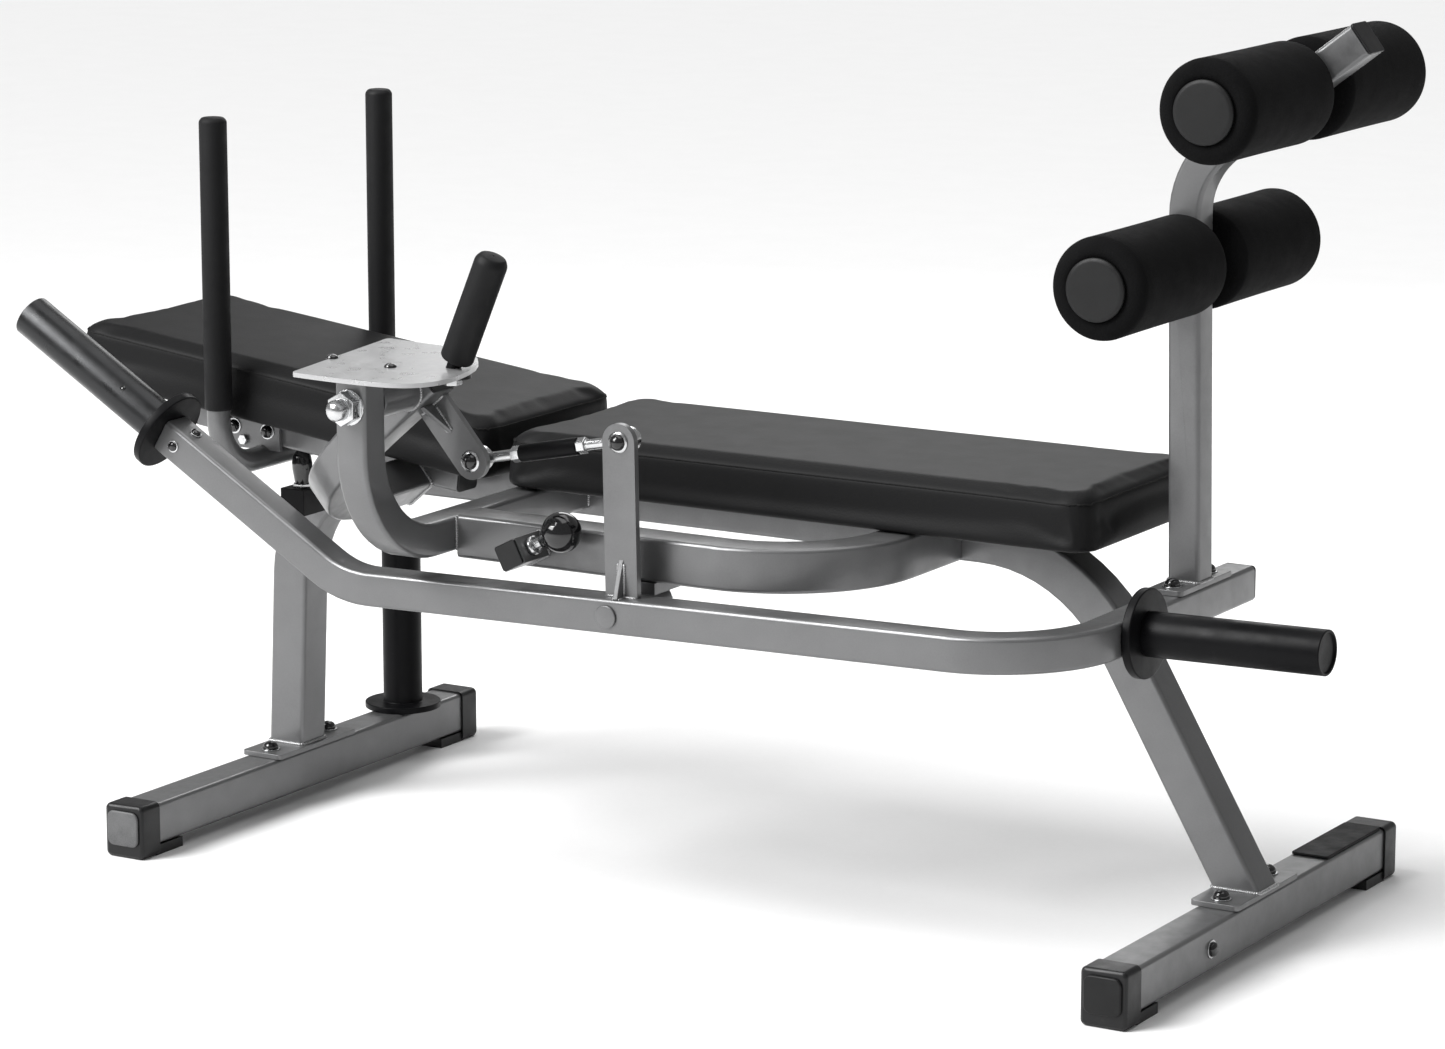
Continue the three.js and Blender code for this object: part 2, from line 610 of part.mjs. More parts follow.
/** Places a point of the resting bench in the level lever's own frame. */
function inLever({ x, z }) {
  const tilt = radians(LEVER_TILT);
  const dx = x - LEVER_PIVOT.x;
  const dz = z - LEVER_PIVOT.z;
  const turned = { x: dx * Math.cos(tilt) + dz * Math.sin(tilt) };
  turned.z = dz * Math.cos(tilt) - dx * Math.sin(tilt);
  return turned;
}

/** The flat strut that pulls the link rod, standing on the lever, and its pin. */
function addStrut() {
  const pin = inLever(STRUT_PIN);
  const halfWidth = 20.5;
  const root = LIGHT_HALF + GAP;
  const outline = new THREE.Shape();
  outline.moveTo(pin.x - halfWidth, root);
  outline.lineTo(pin.x + halfWidth, root);
  outline.lineTo(pin.x + halfWidth, pin.z);
  outline.absarc(pin.x, pin.z, halfWidth, 0, Math.PI);
  const plate = uprightPlate(outline, LINK_PLATE.y, LINK_PLATE.thick, 12);
  const hole = rodY(pin.x, pin.z, 5.8 + GAP, LINK_PLATE.y - 20, LINK_PLATE.y + 20, 20);
  add('strut_plate', cut(plate, hole), 'silver', lever);
  add('strut_pin', linkPin(pin, 5.8), 'blackSteel', lever);
}

function addRollerPost() {
  const x = LEVER_FRONT_REACH;
  const low = LIGHT_HALF + GAP;
  add('roller_post_base', basePlate(x, low, 42, 130), 'silver', lever);
  const rise = radians(POST_UPPER_RISE);
  const corner = point(x, 0, POST_CORNER_Z);
  const upperAt = (run) =>
    corner.clone().add(point(Math.cos(rise) * run, 0, Math.sin(rise) * run));
  const foot = point(x, 0, low + FLANGE.thick + GAP);
  const run = [[foot], [corner, POST_UPPER_BEND], [upperAt(POST_UPPER_RUN)]];
  const axles = { lower: point(x, 0, LOWER_AXLE_Z), upper: upperAt(UPPER_AXLE_RUN) };
  const holes = Object.values(axles).map((at) => rodY(at.x, at.z, AXLE_RADIUS + GAP, -60, 60));
  add('roller_post', cut(squareTube(ROLLER_TUBE, run), ...holes), 'silver', lever);
  for (const [level, at] of Object.entries(axles)) {
    addRollers(level, at.x, at.z);
  }
}

/** An axle through the roller post with a foam roller and its end cap on either side. */
function addRollers(level, x, z) {
  const { radius, inner, outer, cap } = ROLLER;
  add(`${level}_axle`, rodY(x, z, AXLE_RADIUS, -outer + 2, outer - 2, 24), 'zinc', lever);
  const bore = AXLE_RADIUS + GAP;
  const foam = [
    [bore, inner], [radius - 7, inner], [radius - 2, inner + 2], [radius, inner + 7],
    [radius, outer - 9], [radius - 2.5, outer - 3], [radius - 8, outer], [bore, outer],
    [bore, inner],
  ];
  const disc = [
    [0, outer + GAP], [cap, outer + GAP], [cap, outer + 3.5], [cap - 3, outer + 6],
    [0, outer + 6],
  ];
  const mirrored = (profile) => profile.map(([reach, y]) => [reach, -y]).reverse();
  add(`${level}_foam_roller_far`, turnedY(x, z, foam, 32), 'foam', lever);
  add(`${level}_foam_roller_near`, turnedY(x, z, mirrored(foam), 32), 'foam', lever);
  add(`${level}_roller_cap_far`, turnedY(x, z, disc, 32), 'plastic', lever);
  add(`${level}_roller_cap_near`, turnedY(x, z, mirrored(disc), 32), 'plastic', lever);
}

/** The link rod from the crank to the strut: a middle tube with a rod end at either end. */
function addLinkRod() {
  const dx = STRUT_PIN.x - CRANK_PIN.x;
  const dz = STRUT_PIN.z - CRANK_PIN.z;
  const length = Math.hypot(dx, dz);
  const middleY = (LINK_EYE.y0 + LINK_EYE.y1) / 2;
  const rod = (radius, from, to, segments = 20) => {
    const geometry = new THREE.CylinderGeometry(radius, radius, to - from, segments);
    return geometry.rotateZ(-Math.PI / 2).translate((from + to) / 2, middleY, 0);
  };
  const place = (geometry) =>
    geometry.rotateY(-Math.atan2(dz, dx)).translate(CRANK_PIN.x, 0, CRANK_PIN.z);
  const tubeStart = 58;
  const tubeEnd = length - 63;
  add('link_tube', place(rod(10, tubeStart, tubeEnd)), 'blackSteel');
  const ends = [
    ['rear', 0, 8, [10, tubeStart - GAP], [tubeStart - 11, tubeStart - GAP]],
    ['front', length, 6.2, [tubeEnd + GAP, length - 10], [tubeEnd + GAP, tubeEnd + 11]],
  ];
  for (const [name, x, bore, shank, nut] of ends) {
    const eye = rodY(x, 0, LINK_EYE.radius, LINK_EYE.y0, LINK_EYE.y1, 24);
    const body = join(eye, rod(6, ...shank), rod(9.5, ...nut, 6));
    const hole = rodY(x, 0, bore, LINK_EYE.y0 - 5, LINK_EYE.y1 + 5, 24);
    add(`link_rod_end_${name}`, place(cut(body, hole)), 'zinc');
  }
}

addFoot('rear', REAR_FOOT_X);
addFoot('front', FRONT_FOOT_X);
addMainFrame();
addSideRail();
addPopPin();
addFixedArm();
addPivotBolt();
addLeverBearing();
addStorageHorn();
addBumper();
addSeat();
addMovingArm();
addCrank();
addBackPad();
addHandles();
addLever();
addLinkRod();

// The origin is on the floor under the middle of the whole bench.
const assembly = new THREE.Group();
assembly.add(bench);
const middle = new THREE.Box3().setFromObject(assembly, true).getCenter(point(0, 0, 0));
bench.position.set(-middle.x, -middle.y, 0);

export default assembly;
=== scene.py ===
import json
import math

import bmesh
import bpy
import numpy as np
from mathutils import Matrix, Vector
from mathutils.bvhtree import BVHTree


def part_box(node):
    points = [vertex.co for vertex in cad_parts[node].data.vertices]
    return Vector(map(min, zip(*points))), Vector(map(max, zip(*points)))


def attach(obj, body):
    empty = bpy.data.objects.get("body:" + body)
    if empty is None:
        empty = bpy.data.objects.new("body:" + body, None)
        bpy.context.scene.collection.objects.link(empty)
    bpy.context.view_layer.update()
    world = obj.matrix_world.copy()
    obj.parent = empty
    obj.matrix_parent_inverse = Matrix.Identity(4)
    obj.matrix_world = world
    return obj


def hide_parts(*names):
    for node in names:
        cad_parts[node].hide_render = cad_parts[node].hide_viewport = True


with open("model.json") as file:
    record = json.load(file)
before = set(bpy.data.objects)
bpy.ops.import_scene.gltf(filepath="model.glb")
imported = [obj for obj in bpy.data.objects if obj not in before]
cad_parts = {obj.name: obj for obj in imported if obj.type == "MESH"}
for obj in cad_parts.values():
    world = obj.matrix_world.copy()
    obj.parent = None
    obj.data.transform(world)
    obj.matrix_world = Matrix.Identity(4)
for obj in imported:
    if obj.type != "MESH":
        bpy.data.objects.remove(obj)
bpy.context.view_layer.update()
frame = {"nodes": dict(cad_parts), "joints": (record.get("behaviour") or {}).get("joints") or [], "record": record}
NODES = frame["nodes"]
JOINTS = {joint["name"]: joint for joint in frame["joints"]}

# ---- Sizes in metres, angles in radians -------------------------------------------------------
MM = 0.001
GAP = 0.3 * MM
X, Y, Z = Vector((1, 0, 0)), Vector((0, 1, 0)), Vector((0, 0, 1))
BACK_TILT = math.radians(6.75)
ARM_ANGLE = math.radians(40.5)
PIN_ANGLE = math.radians(27)
POST_ANGLE = math.radians(37.3)
POST_BEYOND_AXLE = 98 * MM
PAD_SWELL = 3 * MM
SEAM_DROP = 6.5 * MM
SEAM_RADIUS = 0.9 * MM
VOXEL = 5 * MM
SETTLE_FRAMES = 20
GATHER_REACH, GATHER_DEPTH, GATHER_FOLDS = 40 * MM, 0.3 * MM, 22
CROWN_RISE, CROWN_LIMIT = 1.6 * MM, 1 * MM
ROLLER_BORE, ROLLER_CAP_RADIUS = 9.8 * MM, 34 * MM
SPACER_RADIUS, SPACER_DEPTH = 17 * MM, 1.3 * MM
GRIP_BORE = 14.3 * MM
SIDE_GRIP_LEAN = math.radians(23)
SIDE_GRIP_LENGTH, SIDE_GRIP_RADIUS, SIDE_GRIP_BORE = 137 * MM, 18.5 * MM, 8.3 * MM
SIDE_GRIP_START, SIDE_GRIP_CROWN = 9 * MM, 5.7 * MM
SLEEVE_RADIUS, SLEEVE_BORE, SLEEVE_RECESS = 24.7 * MM, 21.5 * MM, 2.5 * MM
COLLAR_RADIUS, COLLAR_DEPTH = 49 * MM, 10 * MM
STORAGE_COLLAR_RADIUS, STORAGE_COLLAR_DEPTH = 48 * MM, 7.7 * MM
PIN_HEAD = 9 * MM
KNOB_RADIUS, KNOB_ROOT, KNOB_MIDDLE = 22.8 * MM, 33 * MM, 60 * MM
PLUG_SIZE, PLUG_CORNER, PLUG_THICK = 39 * MM, 5 * MM, 2.6 * MM
FOOT_BOLT_SPREAD, SIDE_BOLT_Y = 60 * MM, -143 * MM
FOOT_STRIP_Y, FOOT_STRIP_WIDE, FOOT_STRIP_LONG = 240 * MM, 45 * MM, 150 * MM
CAP_FACE_WIDE, CAP_FACE_TALL, CAP_FACE_THICK = 44 * MM, 42 * MM, 3.8 * MM
ARM_BEAD_LOW, ARM_BEAD_HIGH = 412 * MM, 445 * MM
ARM_LEG_REACH = 255 * MM

# ---- Camera and light -------------------------------------------------------------------------
LENS = 120.6
VIEW_AZIMUTH = math.radians(31.0)
VIEW_ELEVATION = math.radians(11.66)
VIEW_DISTANCE = 5.499
AIM_FROM_REAR_FOOT = Vector((0.6583, -0.0828, 0.423))
AMBIENT = 0.3
SUN_POWER, SUN_SPREAD = 3.0, math.radians(32)
SUN_WAY = Vector((0.42, 0.52, -0.74))
LIGHT_AIM = (0, 0, 0.5)
LAMPS = {  # where each soft lamp stands, its size and its power
    "key": ((-2.6, -3.6, 3.0), (2.6, 2.0), 170),
    "top": ((0.2, 0.4, 3.6), (3.4, 2.4), 45),
    "rim": ((-1.5, 3.4, 2.2), (2.0, 1.4), 25),
}
FLOOR_HALF = 30


def middle(node):
    low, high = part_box(node)
    return (low + high) / 2


def part_way(node, fx, fy, fz):
    """A point a given fraction of the way across a node's box on each axis."""
    low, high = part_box(node)
    return Vector(low[i] + (high[i] - low[i]) * f for i, f in enumerate((fx, fy, fz)))


def pivot(joint):
    return Vector(JOINTS[joint]["pos_m"])


CENTRE_Y = middle("seat_pad").y


# ---- Materials --------------------------------------------------------------------------------
def surface(name, color, roughness, metallic=0.0, mottle=0.12, mottle_scale=9.0, spread=0.08,
            grain_scale=1400.0, grain_depth=0.04, cells=0.0, scuffs=0.0, **sockets):
    """A procedural finish: clouded colour, uneven gloss, light scuffs and a fine grain in relief."""
    material = bpy.data.materials.new(name)
    material.use_nodes = True
    nodes, links = material.node_tree.nodes, material.node_tree.links
    shader = nodes["Principled BSDF"]
    shader.inputs["Metallic"].default_value = metallic
    for socket, value in sockets.items():
        shader.inputs[socket.replace("_", " ")].default_value = value
    place = nodes.new("ShaderNodeTexCoord").outputs["Object"]

    def noise(scale, detail=3.0, rough=0.55):
        node = nodes.new("ShaderNodeTexNoise")
        node.inputs["Scale"].default_value = scale
        node.inputs["Detail"].default_value = detail
        node.inputs["Roughness"].default_value = rough
        links.new(place, node.inputs["Vector"])
        return node.outputs["Fac"]

    def ramp(factor, low, high):
        node = nodes.new("ShaderNodeMapRange")
        node.inputs["From Min"].default_value = 0.3
        node.inputs["From Max"].default_value = 0.7
        node.inputs["To Min"].default_value = low
        node.inputs["To Max"].default_value = high
        links.new(factor, node.inputs["Value"])
        return node.outputs["Result"]

    def mix(factor, dark, light):
        node = nodes.new("ShaderNodeMix")
        node.data_type = "RGBA"
        links.new(factor, node.inputs["Factor"])
        for index, value in ((6, dark), (7, light)):
            if isinstance(value, bpy.types.NodeSocket):
                links.new(value, node.inputs[index])
            else:
                node.inputs[index].default_value = (*value, 1)
        return node.outputs[2]

    def shade(factor):
        return tuple(min(1.0, part * factor) for part in color)

    clouds = ramp(noise(mottle_scale), 0, 1)
    tone = mix(clouds, shade(1 - mottle), shade(1 + mottle))
    flecks = ramp(noise(grain_scale * 0.6, 1.0), 0, 0.5)
    tone = mix(flecks, tone, shade(1 + 2 * mottle))
    if scuffs:
        worn = nodes.new("ShaderNodeMapRange")
        worn.inputs["From Min"].default_value = 0.64
        worn.inputs["From Max"].default_value = 0.74
        worn.inputs["To Max"].default_value = scuffs
        links.new(noise(38.0, 6.0, 0.7), worn.inputs["Value"])
        tone = mix(worn.outputs["Result"], tone, tuple(min(1.0, p * 1.5 + 0.02) for p in color))
    links.new(tone, shader.inputs["Base Color"])
    uneven = ramp(noise(mottle_scale * 5, 4.0), roughness - spread, roughness + spread)
    links.new(uneven, shader.inputs["Roughness"])

    height = noise(grain_scale, 2.0)
    if cells:
        pores = nodes.new("ShaderNodeTexVoronoi")
        pores.inputs["Scale"].default_value = cells
        links.new(place, pores.inputs["Vector"])
        both = nodes.new("ShaderNodeMath")
        both.operation = "ADD"
        links.new(pores.outputs["Distance"], both.inputs[0])
        links.new(height, both.inputs[1])
        height = both.outputs[0]
    bump = nodes.new("ShaderNodeBump")
    bump.inputs["Strength"].default_value = 0.5
    bump.inputs["Distance"].default_value = grain_depth * MM
    links.new(height, bump.inputs["Height"])
    links.new(bump.outputs["Normal"], shader.inputs["Normal"])
    return material


def make_finishes():
    return {
        "silver": surface("silver powder coat", (0.15, 0.151, 0.153), 0.36, 0.6, mottle=0.06,
                          grain_scale=1100, grain_depth=0.035, scuffs=0.15, Coat_Weight=0.15),
        # a paler copy of the silver coat for the top plate: painted light for its top face lit from above
        "top_lit_silver": surface("silver coat painted top-lit", (0.42, 0.422, 0.426), 0.32, 0.5, mottle=0.03,
                               grain_scale=1100, grain_depth=0.012, Coat_Weight=0.2),
        "zinc": surface("zinc plate", (0.55, 0.555, 0.56), 0.22, 1.0, mottle=0.1, mottle_scale=60,
                        grain_scale=2600, grain_depth=0.02, scuffs=0.2),
        "black_steel": surface("black powder coat", (0.004, 0.004, 0.0045), 0.38, 0.0,
                               grain_scale=1300, grain_depth=0.08, scuffs=0.3,
                               Specular_IOR_Level=0.09),
        "grey_steel": surface("dark grey sleeve", (0.03, 0.0305, 0.0315), 0.33, 0.8, mottle=0.08,
                              grain_scale=1500, grain_depth=0.03, scuffs=0.3),
        "black_plastic": surface("moulded black plastic", (0.005, 0.005, 0.0055), 0.4,
                                 grain_scale=1500, grain_depth=0.09, cells=1200, scuffs=0.25,
                                 Specular_IOR_Level=0.35),
        "gloss_plastic": surface("glossy black plastic", (0.005, 0.005, 0.0055), 0.14, spread=0.04,
                                 grain_scale=300, grain_depth=0.02, Coat_Weight=0.4),
        "grey_plastic": surface("grey roller cap", (0.009, 0.0091, 0.0093), 0.45, mottle=0.18,
                                mottle_scale=26, grain_scale=1600, grain_depth=0.06, cells=1500,
                                Specular_IOR_Level=0.22),
        "cap_insert": surface("pale cap insert", (0.085, 0.0855, 0.087), 0.4, 0.0, mottle=0.3,
                              mottle_scale=34, grain_scale=1500, grain_depth=0.06,
                              Specular_IOR_Level=0.3),
        "rubber": surface("foam rubber grip", (0.004, 0.004, 0.0045), 0.6, mottle=0.2,
                          grain_scale=900, grain_depth=0.16, cells=700,
                          Specular_IOR_Level=0.22),
        "foam": surface("roller foam", (0.003, 0.003, 0.0032), 0.88, mottle=0.25, spread=0.06,
                        grain_scale=650, grain_depth=0.4, cells=520, Sheen_Weight=0.01,
                        Sheen_Roughness=0.5, Specular_IOR_Level=0.08),
        "vinyl": surface("black vinyl", (0.0075, 0.0075, 0.0078), 0.52, mottle=0.04,
                         mottle_scale=5, spread=0.015, grain_scale=520, grain_depth=0.16,
                         cells=430, Specular_IOR_Level=0.12),
        "thread": surface("seam thread", (0.006, 0.006, 0.006), 0.75, grain_scale=2200,
                          grain_depth=0.1, Specular_IOR_Level=0.2),
        "weld": surface("coated weld bead", (0.34, 0.342, 0.345), 0.3, 0.7, mottle=0.12,
                        mottle_scale=180, grain_scale=900, grain_depth=0.08, Coat_Weight=0.3),
    }


FINISH = make_finishes()


LIT_COPY_FINISH = {"top_plate": "top_lit_silver"}  # CAD nodes given a paler copy of their slot's finish: painted light where the top light falls on the plate


# ---- Mesh helpers -----------------------------------------------------------------------------
def piece(name, verts, faces, body, finish, smooth=True):
    """A new mesh piece in the row frame that rides on a body."""
    mesh = bpy.data.meshes.new(name)
    mesh.from_pydata([tuple(v) for v in verts], [], faces)
    mesh.update()
    obj = bpy.data.objects.new(name, mesh)
    bpy.context.scene.collection.objects.link(obj)
    work = bmesh.new()
    work.from_mesh(mesh)
    bmesh.ops.recalc_face_normals(work, faces=work.faces)
    work.to_mesh(mesh)
    work.free()
    for face in mesh.polygons:
        face.use_smooth = smooth
    mesh.materials.append(FINISH[finish])
    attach(obj, body)
    return obj


def eased(obj, width=0.6 * MM, segments=3, angle=40):
    """Rounds a piece's sharp edges and keeps its flats flat."""
    bevel = obj.modifiers.new("eased edges", "BEVEL")
    bevel.width = width
    bevel.segments = segments
    bevel.limit_method = "ANGLE"
    bevel.angle_limit = math.radians(angle)
    normals = obj.modifiers.new("flat faces", "WEIGHTED_NORMAL")
    normals.keep_sharp = True
    return obj


def rounded(points, radius, steps=4):
    """The same open outline with each inner corner turned into an arc."""
    out = [Vector(points[0])]
    for before, here, after in zip(points, points[1:], points[2:]):
        here = Vector(here)
        back, ahead = Vector(before) - here, Vector(after) - here
        reach = min(radius, back.length * 0.45, ahead.length * 0.45)
        start, end = here + back.normalized() * reach, here + ahead.normalized() * reach
        for step in range(steps + 1):
            t = step / steps
            out.append(start * (1 - t) ** 2 + here * (2 * t * (1 - t)) + end * t ** 2)
    out.append(Vector(points[-1]))
    return out


def turned(name, origin, axis, profile, body, finish, ease=0.0, segments=64, smooth=True):
    """A solid of revolution; the profile is (radius, height) pairs from axis to axis."""
    outline = [Vector((r, h)) for r, h in profile]
    if ease:
        outline = rounded(outline, ease)
    turn = Z.rotation_difference(Vector(axis).normalized()).to_matrix()
    verts, rings = [], []
    for radius, height in outline:
        if radius < 1e-7:
            rings.append([len(verts)])
            verts.append(Vector(origin) + turn @ Vector((0, 0, height)))
            continue
        rings.append(list(range(len(verts), len(verts) + segments)))
        for index in range(segments):
            angle = math.tau * index / segments
            spot = Vector((radius * math.cos(angle), radius * math.sin(angle), height))
            verts.append(Vector(origin) + turn @ spot)
    faces = []
    for low, high in zip(rings, rings[1:]):
        for index in range(segments):
            after = (index + 1) % segments
            if len(low) == 1 and len(high) == 1:
                continue
            if len(low) == 1:
                faces.append((low[0], high[index], high[after]))
            elif len(high) == 1:
                faces.append((low[index], high[0], low[after]))
            else:
                faces.append((low[index], high[index], high[after], low[after]))
    if len(rings[0]) > 1:  # a ring-shaped profile closes on itself
        for index in range(segments):
            after = (index + 1) % segments
            faces.append((rings[-1][index], rings[0][index], rings[0][after], rings[-1][after]))
    return piece(name, verts, faces, body, finish, smooth)


def plate(name, outline, thickness, body, finish, ease=0.8 * MM):
    """A flat plate: the outline's points, thickened along the given vector."""
    count = len(outline)
    offset = Vector(thickness)
    verts = [Vector(p) - offset / 2 for p in outline] + [Vector(p) + offset / 2 for p in outline]
    faces = [tuple(range(count)), tuple(range(2 * count - 1, count - 1, -1))]
    faces += [(i, (i + 1) % count, (i + 1) % count + count, i + count) for i in range(count)]
    return eased(piece(name, verts, faces, body, finish), ease)


def rounded_square(centre, across, up, width, height, radius, steps=5):
    """Points of a rectangle with round corners in the plane of two directions."""
    points = []
    for sx, sy, start in ((1, 1, 0), (-1, 1, 90), (-1, -1, 180), (1, -1, 270)):
        for step in range(steps + 1):
            angle = math.radians(start + 90 * step / steps)
            a = sx * (width / 2 - radius) + radius * math.cos(angle)
            b = sy * (height / 2 - radius) + radius * math.sin(angle)
            points.append(Vector(centre) + Vector(across) * a + Vector(up) * b)
    return points


def weld(name, path, body, closed=False, radius=2.2 * MM, ripple=2.6 * MM):
    """A fish-scaled weld bead along a line of points."""
    corners = [Vector(p) for p in path] + ([Vector(path[0])] if closed else [])
    pitch = ripple / 4
    points = []
    for start, end in zip(corners, corners[1:]):
        steps = max(1, round((end - start).length / pitch))
        points += [start.lerp(end, step / steps) for step in range(steps)]
    if not closed:
        points.append(corners[-1])
    sides, total = 8, len(points)
    verts, faces = [], []
    for index, here in enumerate(points):
        ahead = points[(index + 1) % total] if closed else points[min(index + 1, total - 1)]
        behind = points[index - 1] if closed or index else points[0]
        along = (ahead - behind).normalized()
        side = along.orthogonal().normalized() if abs(along.z) > 0.9 else along.cross(Z).normalized()
        up = side.cross(along)
        swell = 1 + 0.16 * math.sin(math.tau * index * pitch / ripple)
        if not closed:
            swell *= min(1.0, 0.35 + 0.2 * min(index, total - 1 - index))
        for turn in range(sides):
            angle = math.tau * turn / sides
            offset = side * math.cos(angle) + up * math.sin(angle)
            verts.append(here + offset * radius * swell)
    last = total if closed else total - 1
    for index in range(last):
        after = (index + 1) % total
        for turn in range(sides):
            beside = (turn + 1) % sides
            faces.append((index * sides + turn, index * sides + beside,
                          after * sides + beside, after * sides + turn))
    if not closed:
        faces.append(tuple(range(sides)))
        faces.append(tuple(range((total - 1) * sides, total * sides)))
    return piece(name, verts, faces, body, "weld")


def ring_points(centre, axis, radius, count=28):
    side = Vector(axis).orthogonal().normalized()
    return [Vector(centre) + Matrix.Rotation(math.tau * i / count, 3, axis) @ (side * radius)
            for i in range(count)]


def dome_cap(name, spot, axis, body, radius=9 * MM, height=8 * MM):
    """A glossy push-on cap over a bolt head, on a thin washer."""
    turned(f"{name}_washer", spot, axis,
           [(0, 0), (radius * 1.3, 0), (radius * 1.3, 1.4 * MM), (0, 1.4 * MM)],
           body, "zinc", 0.5 * MM, 40)
    base = 1.4 * MM
    arc = [(radius * math.cos(a), base + height * (0.25 + 0.75 * math.sin(a)))
           for a in np.linspace(0, math.pi / 2, 12)[:-1]]
    profile = [(0, base), (radius * 1.05, base), (radius, base + height * 0.2), *arc]
    turned(f"{name}_cap", spot, axis, [*profile, (0, base + height)], body, "gloss_plastic")


def slotted_screw(name, spot, body, radius, height):
    """A dark round-headed screw that stands upright, with a bright slot across its head."""
    arc = [(radius * math.cos(a), height * math.sin(a)) for a in np.linspace(0, math.pi / 2, 14)]
    turned(f"{name}_head", spot, Z, [(0, 0), *arc[:-1], (0, height)], body, "gloss_plastic",
           segments=48)
    reach, rise = radius + 0.12 * MM, height + 0.12 * MM
    slot = [Vector(spot) + Y * reach * math.cos(a) + Z * rise * math.sin(a)
            for a in np.linspace(0.5, math.pi - 0.5, 14)]
    plate(f"{name}_slot", slot, X * 1.7 * MM, body, "zinc", 0.2 * MM)


def hex_nut(name, spot, axis, body, radius, height):
    profile = [(0, 0), (radius * 0.93, 0), (radius, height * 0.14), (radius, height * 0.86),
               (radius * 0.93, height), (0, height)]
    turned(name, spot, axis, profile, body, "zinc", segments=6, smooth=False)


# ---- CAD pieces that stay as they are ---------------------------------------------------------
def finish_cad_nodes():
    slots = {row["node"]: row["material_slot"] for row in frame["record"]["subparts"]}
    for name, obj in NODES.items():
        mesh = obj.data
        mesh.materials.clear()
        mesh.materials.append(FINISH[LIT_COPY_FINISH.get(name, slots[name])])
        for attribute in ("custom_normal", "sharp_edge", "sharp_face"):
            if attribute in mesh.attributes:
                mesh.attributes.remove(mesh.attributes[attribute])
        for face in mesh.polygons:
            face.use_smooth = True
        weld_points = obj.modifiers.new("joined corners", "WELD")
        weld_points.merge_threshold = 0.02 * MM
        eased(obj, 0.8 * MM, 2, 50)


# ---- Upholstery -------------------------------------------------------------------------------
def local_box(node, turn):
    """A node's lowest and highest corner in a turned frame about the row's origin."""
    points = np.array([turn.inverted() @ v.co for v in NODES[node].data.vertices])
    return Vector(points.min(0)), Vector(points.max(0))


def applied(obj):
    """The mesh that an object shows now, as its own data and with no modifiers left."""
    shown = obj.evaluated_get(bpy.context.evaluated_depsgraph_get())
    mesh = bpy.data.meshes.new_from_object(shown)
    obj.modifiers.clear()
    obj.data = mesh


def inflate(obj, floor_z, cap):
    """Blows the cover up like a stuffed pad, its underside held, no point moving past the cap."""
    start = np.array([v.co[:] for v in obj.data.vertices])
    held = obj.vertex_groups.new(name="underside")
    held.add([int(i) for i in np.nonzero(start[:, 2] < floor_z + 7 * MM)[0]], 1.0, "REPLACE")
    modifier = obj.modifiers.new("stuffing", "CLOTH")
    cloth = modifier.settings
    cloth.quality = 5
    cloth.mass = 0.3
    cloth.tension_stiffness = cloth.compression_stiffness = 5
    cloth.shear_stiffness = 3
    cloth.bending_stiffness = 0.6
    cloth.use_pressure = True
    cloth.uniform_pressure_force = 4
    cloth.vertex_group_mass = "underside"
    cloth.effector_weights.gravity = 0
    modifier.point_cache.frame_start = 1
    modifier.point_cache.frame_end = SETTLE_FRAMES
    for number in range(1, SETTLE_FRAMES + 1):
        bpy.context.scene.frame_set(number)
    applied(obj)
    bpy.context.scene.frame_set(1)
    end = np.array([v.co[:] for v in obj.data.vertices])
    move = end - start
    length = np.maximum(np.linalg.norm(move, axis=1), 1e-9)
    end = start + move * np.minimum(1, cap / length)[:, None]
    obj.data.vertices.foreach_set("co", end.astype(np.float32).ravel())
    obj.data.update()


def pull_in_corners(obj, low, high):
    """Small gathers in the cover where it is folded round the pad's four corners."""
    centre, half = (low + high) / 2, (high - low) / 2
    for vertex in obj.data.vertices:
        x, y, z = vertex.co
        dx = max(0, abs(x - centre.x) - half.x + GATHER_REACH)
        dy = max(0, abs(y - centre.y) - half.y + GATHER_REACH)
        if not dx or not dy:
            continue
        fade = 1 - (z - low.z) / (high.z - 2 * SEAM_DROP - low.z)
        if fade <= 0:
            continue
        fold = math.sin(math.atan2(dy, dx) * GATHER_FOLDS)
        inward = Vector((-math.copysign(dx, x - centre.x),
                         -math.copysign(dy, y - centre.y), 0)).normalized()
        vertex.co += inward * GATHER_DEPTH * fold * min(1, fade * 1.4)


def outline_at(low, high, inset, radius, z):
    """The pad's outline at one height, drawn in by an inset."""
    centre = Vector(((low.x + high.x) / 2, (low.y + high.y) / 2, z))
    size = high - low
    return rounded_square(centre, X, Y, size.x - 2 * inset, size.y - 2 * inset, radius, 10)


def seam(name, pad, path, body, turn):
    """A stitched welt that lies on the cover along a closed line."""
    tree = BVHTree.FromObject(pad, bpy.context.evaluated_depsgraph_get())
    dense = []
    for start, end in zip(path, path[1:] + path[:1]):
        steps = max(1, round((end - start).length / (3 * MM)))
        dense += [start.lerp(end, step / steps) for step in range(steps)]
    spots = []
    for point in dense:
        spot, normal, *_ = tree.find_nearest(point)
        spots.append((spot + normal * SEAM_RADIUS * 0.15, normal))
    verts, faces, sides, total = [], [], 8, len(spots)
    for index, (spot, normal) in enumerate(spots):
        along = (spots[(index + 1) % total][0] - spots[index - 1][0]).normalized()
        side = along.cross(normal).normalized()
        thick = SEAM_RADIUS * (1 + 0.13 * math.cos(math.pi * index))
        for turn_index in range(sides):
            angle = math.tau * turn_index / sides
            offset = side * math.cos(angle) + normal * math.sin(angle)
            verts.append(turn @ (spot + offset * thick))
        after = (index + 1) % total
        for s in range(sides):
            n = (s + 1) % sides
            faces.append((index * sides + s, index * sides + n, after * sides + n,
                          after * sides + s))
    return piece(name, verts, faces, body, "thread")


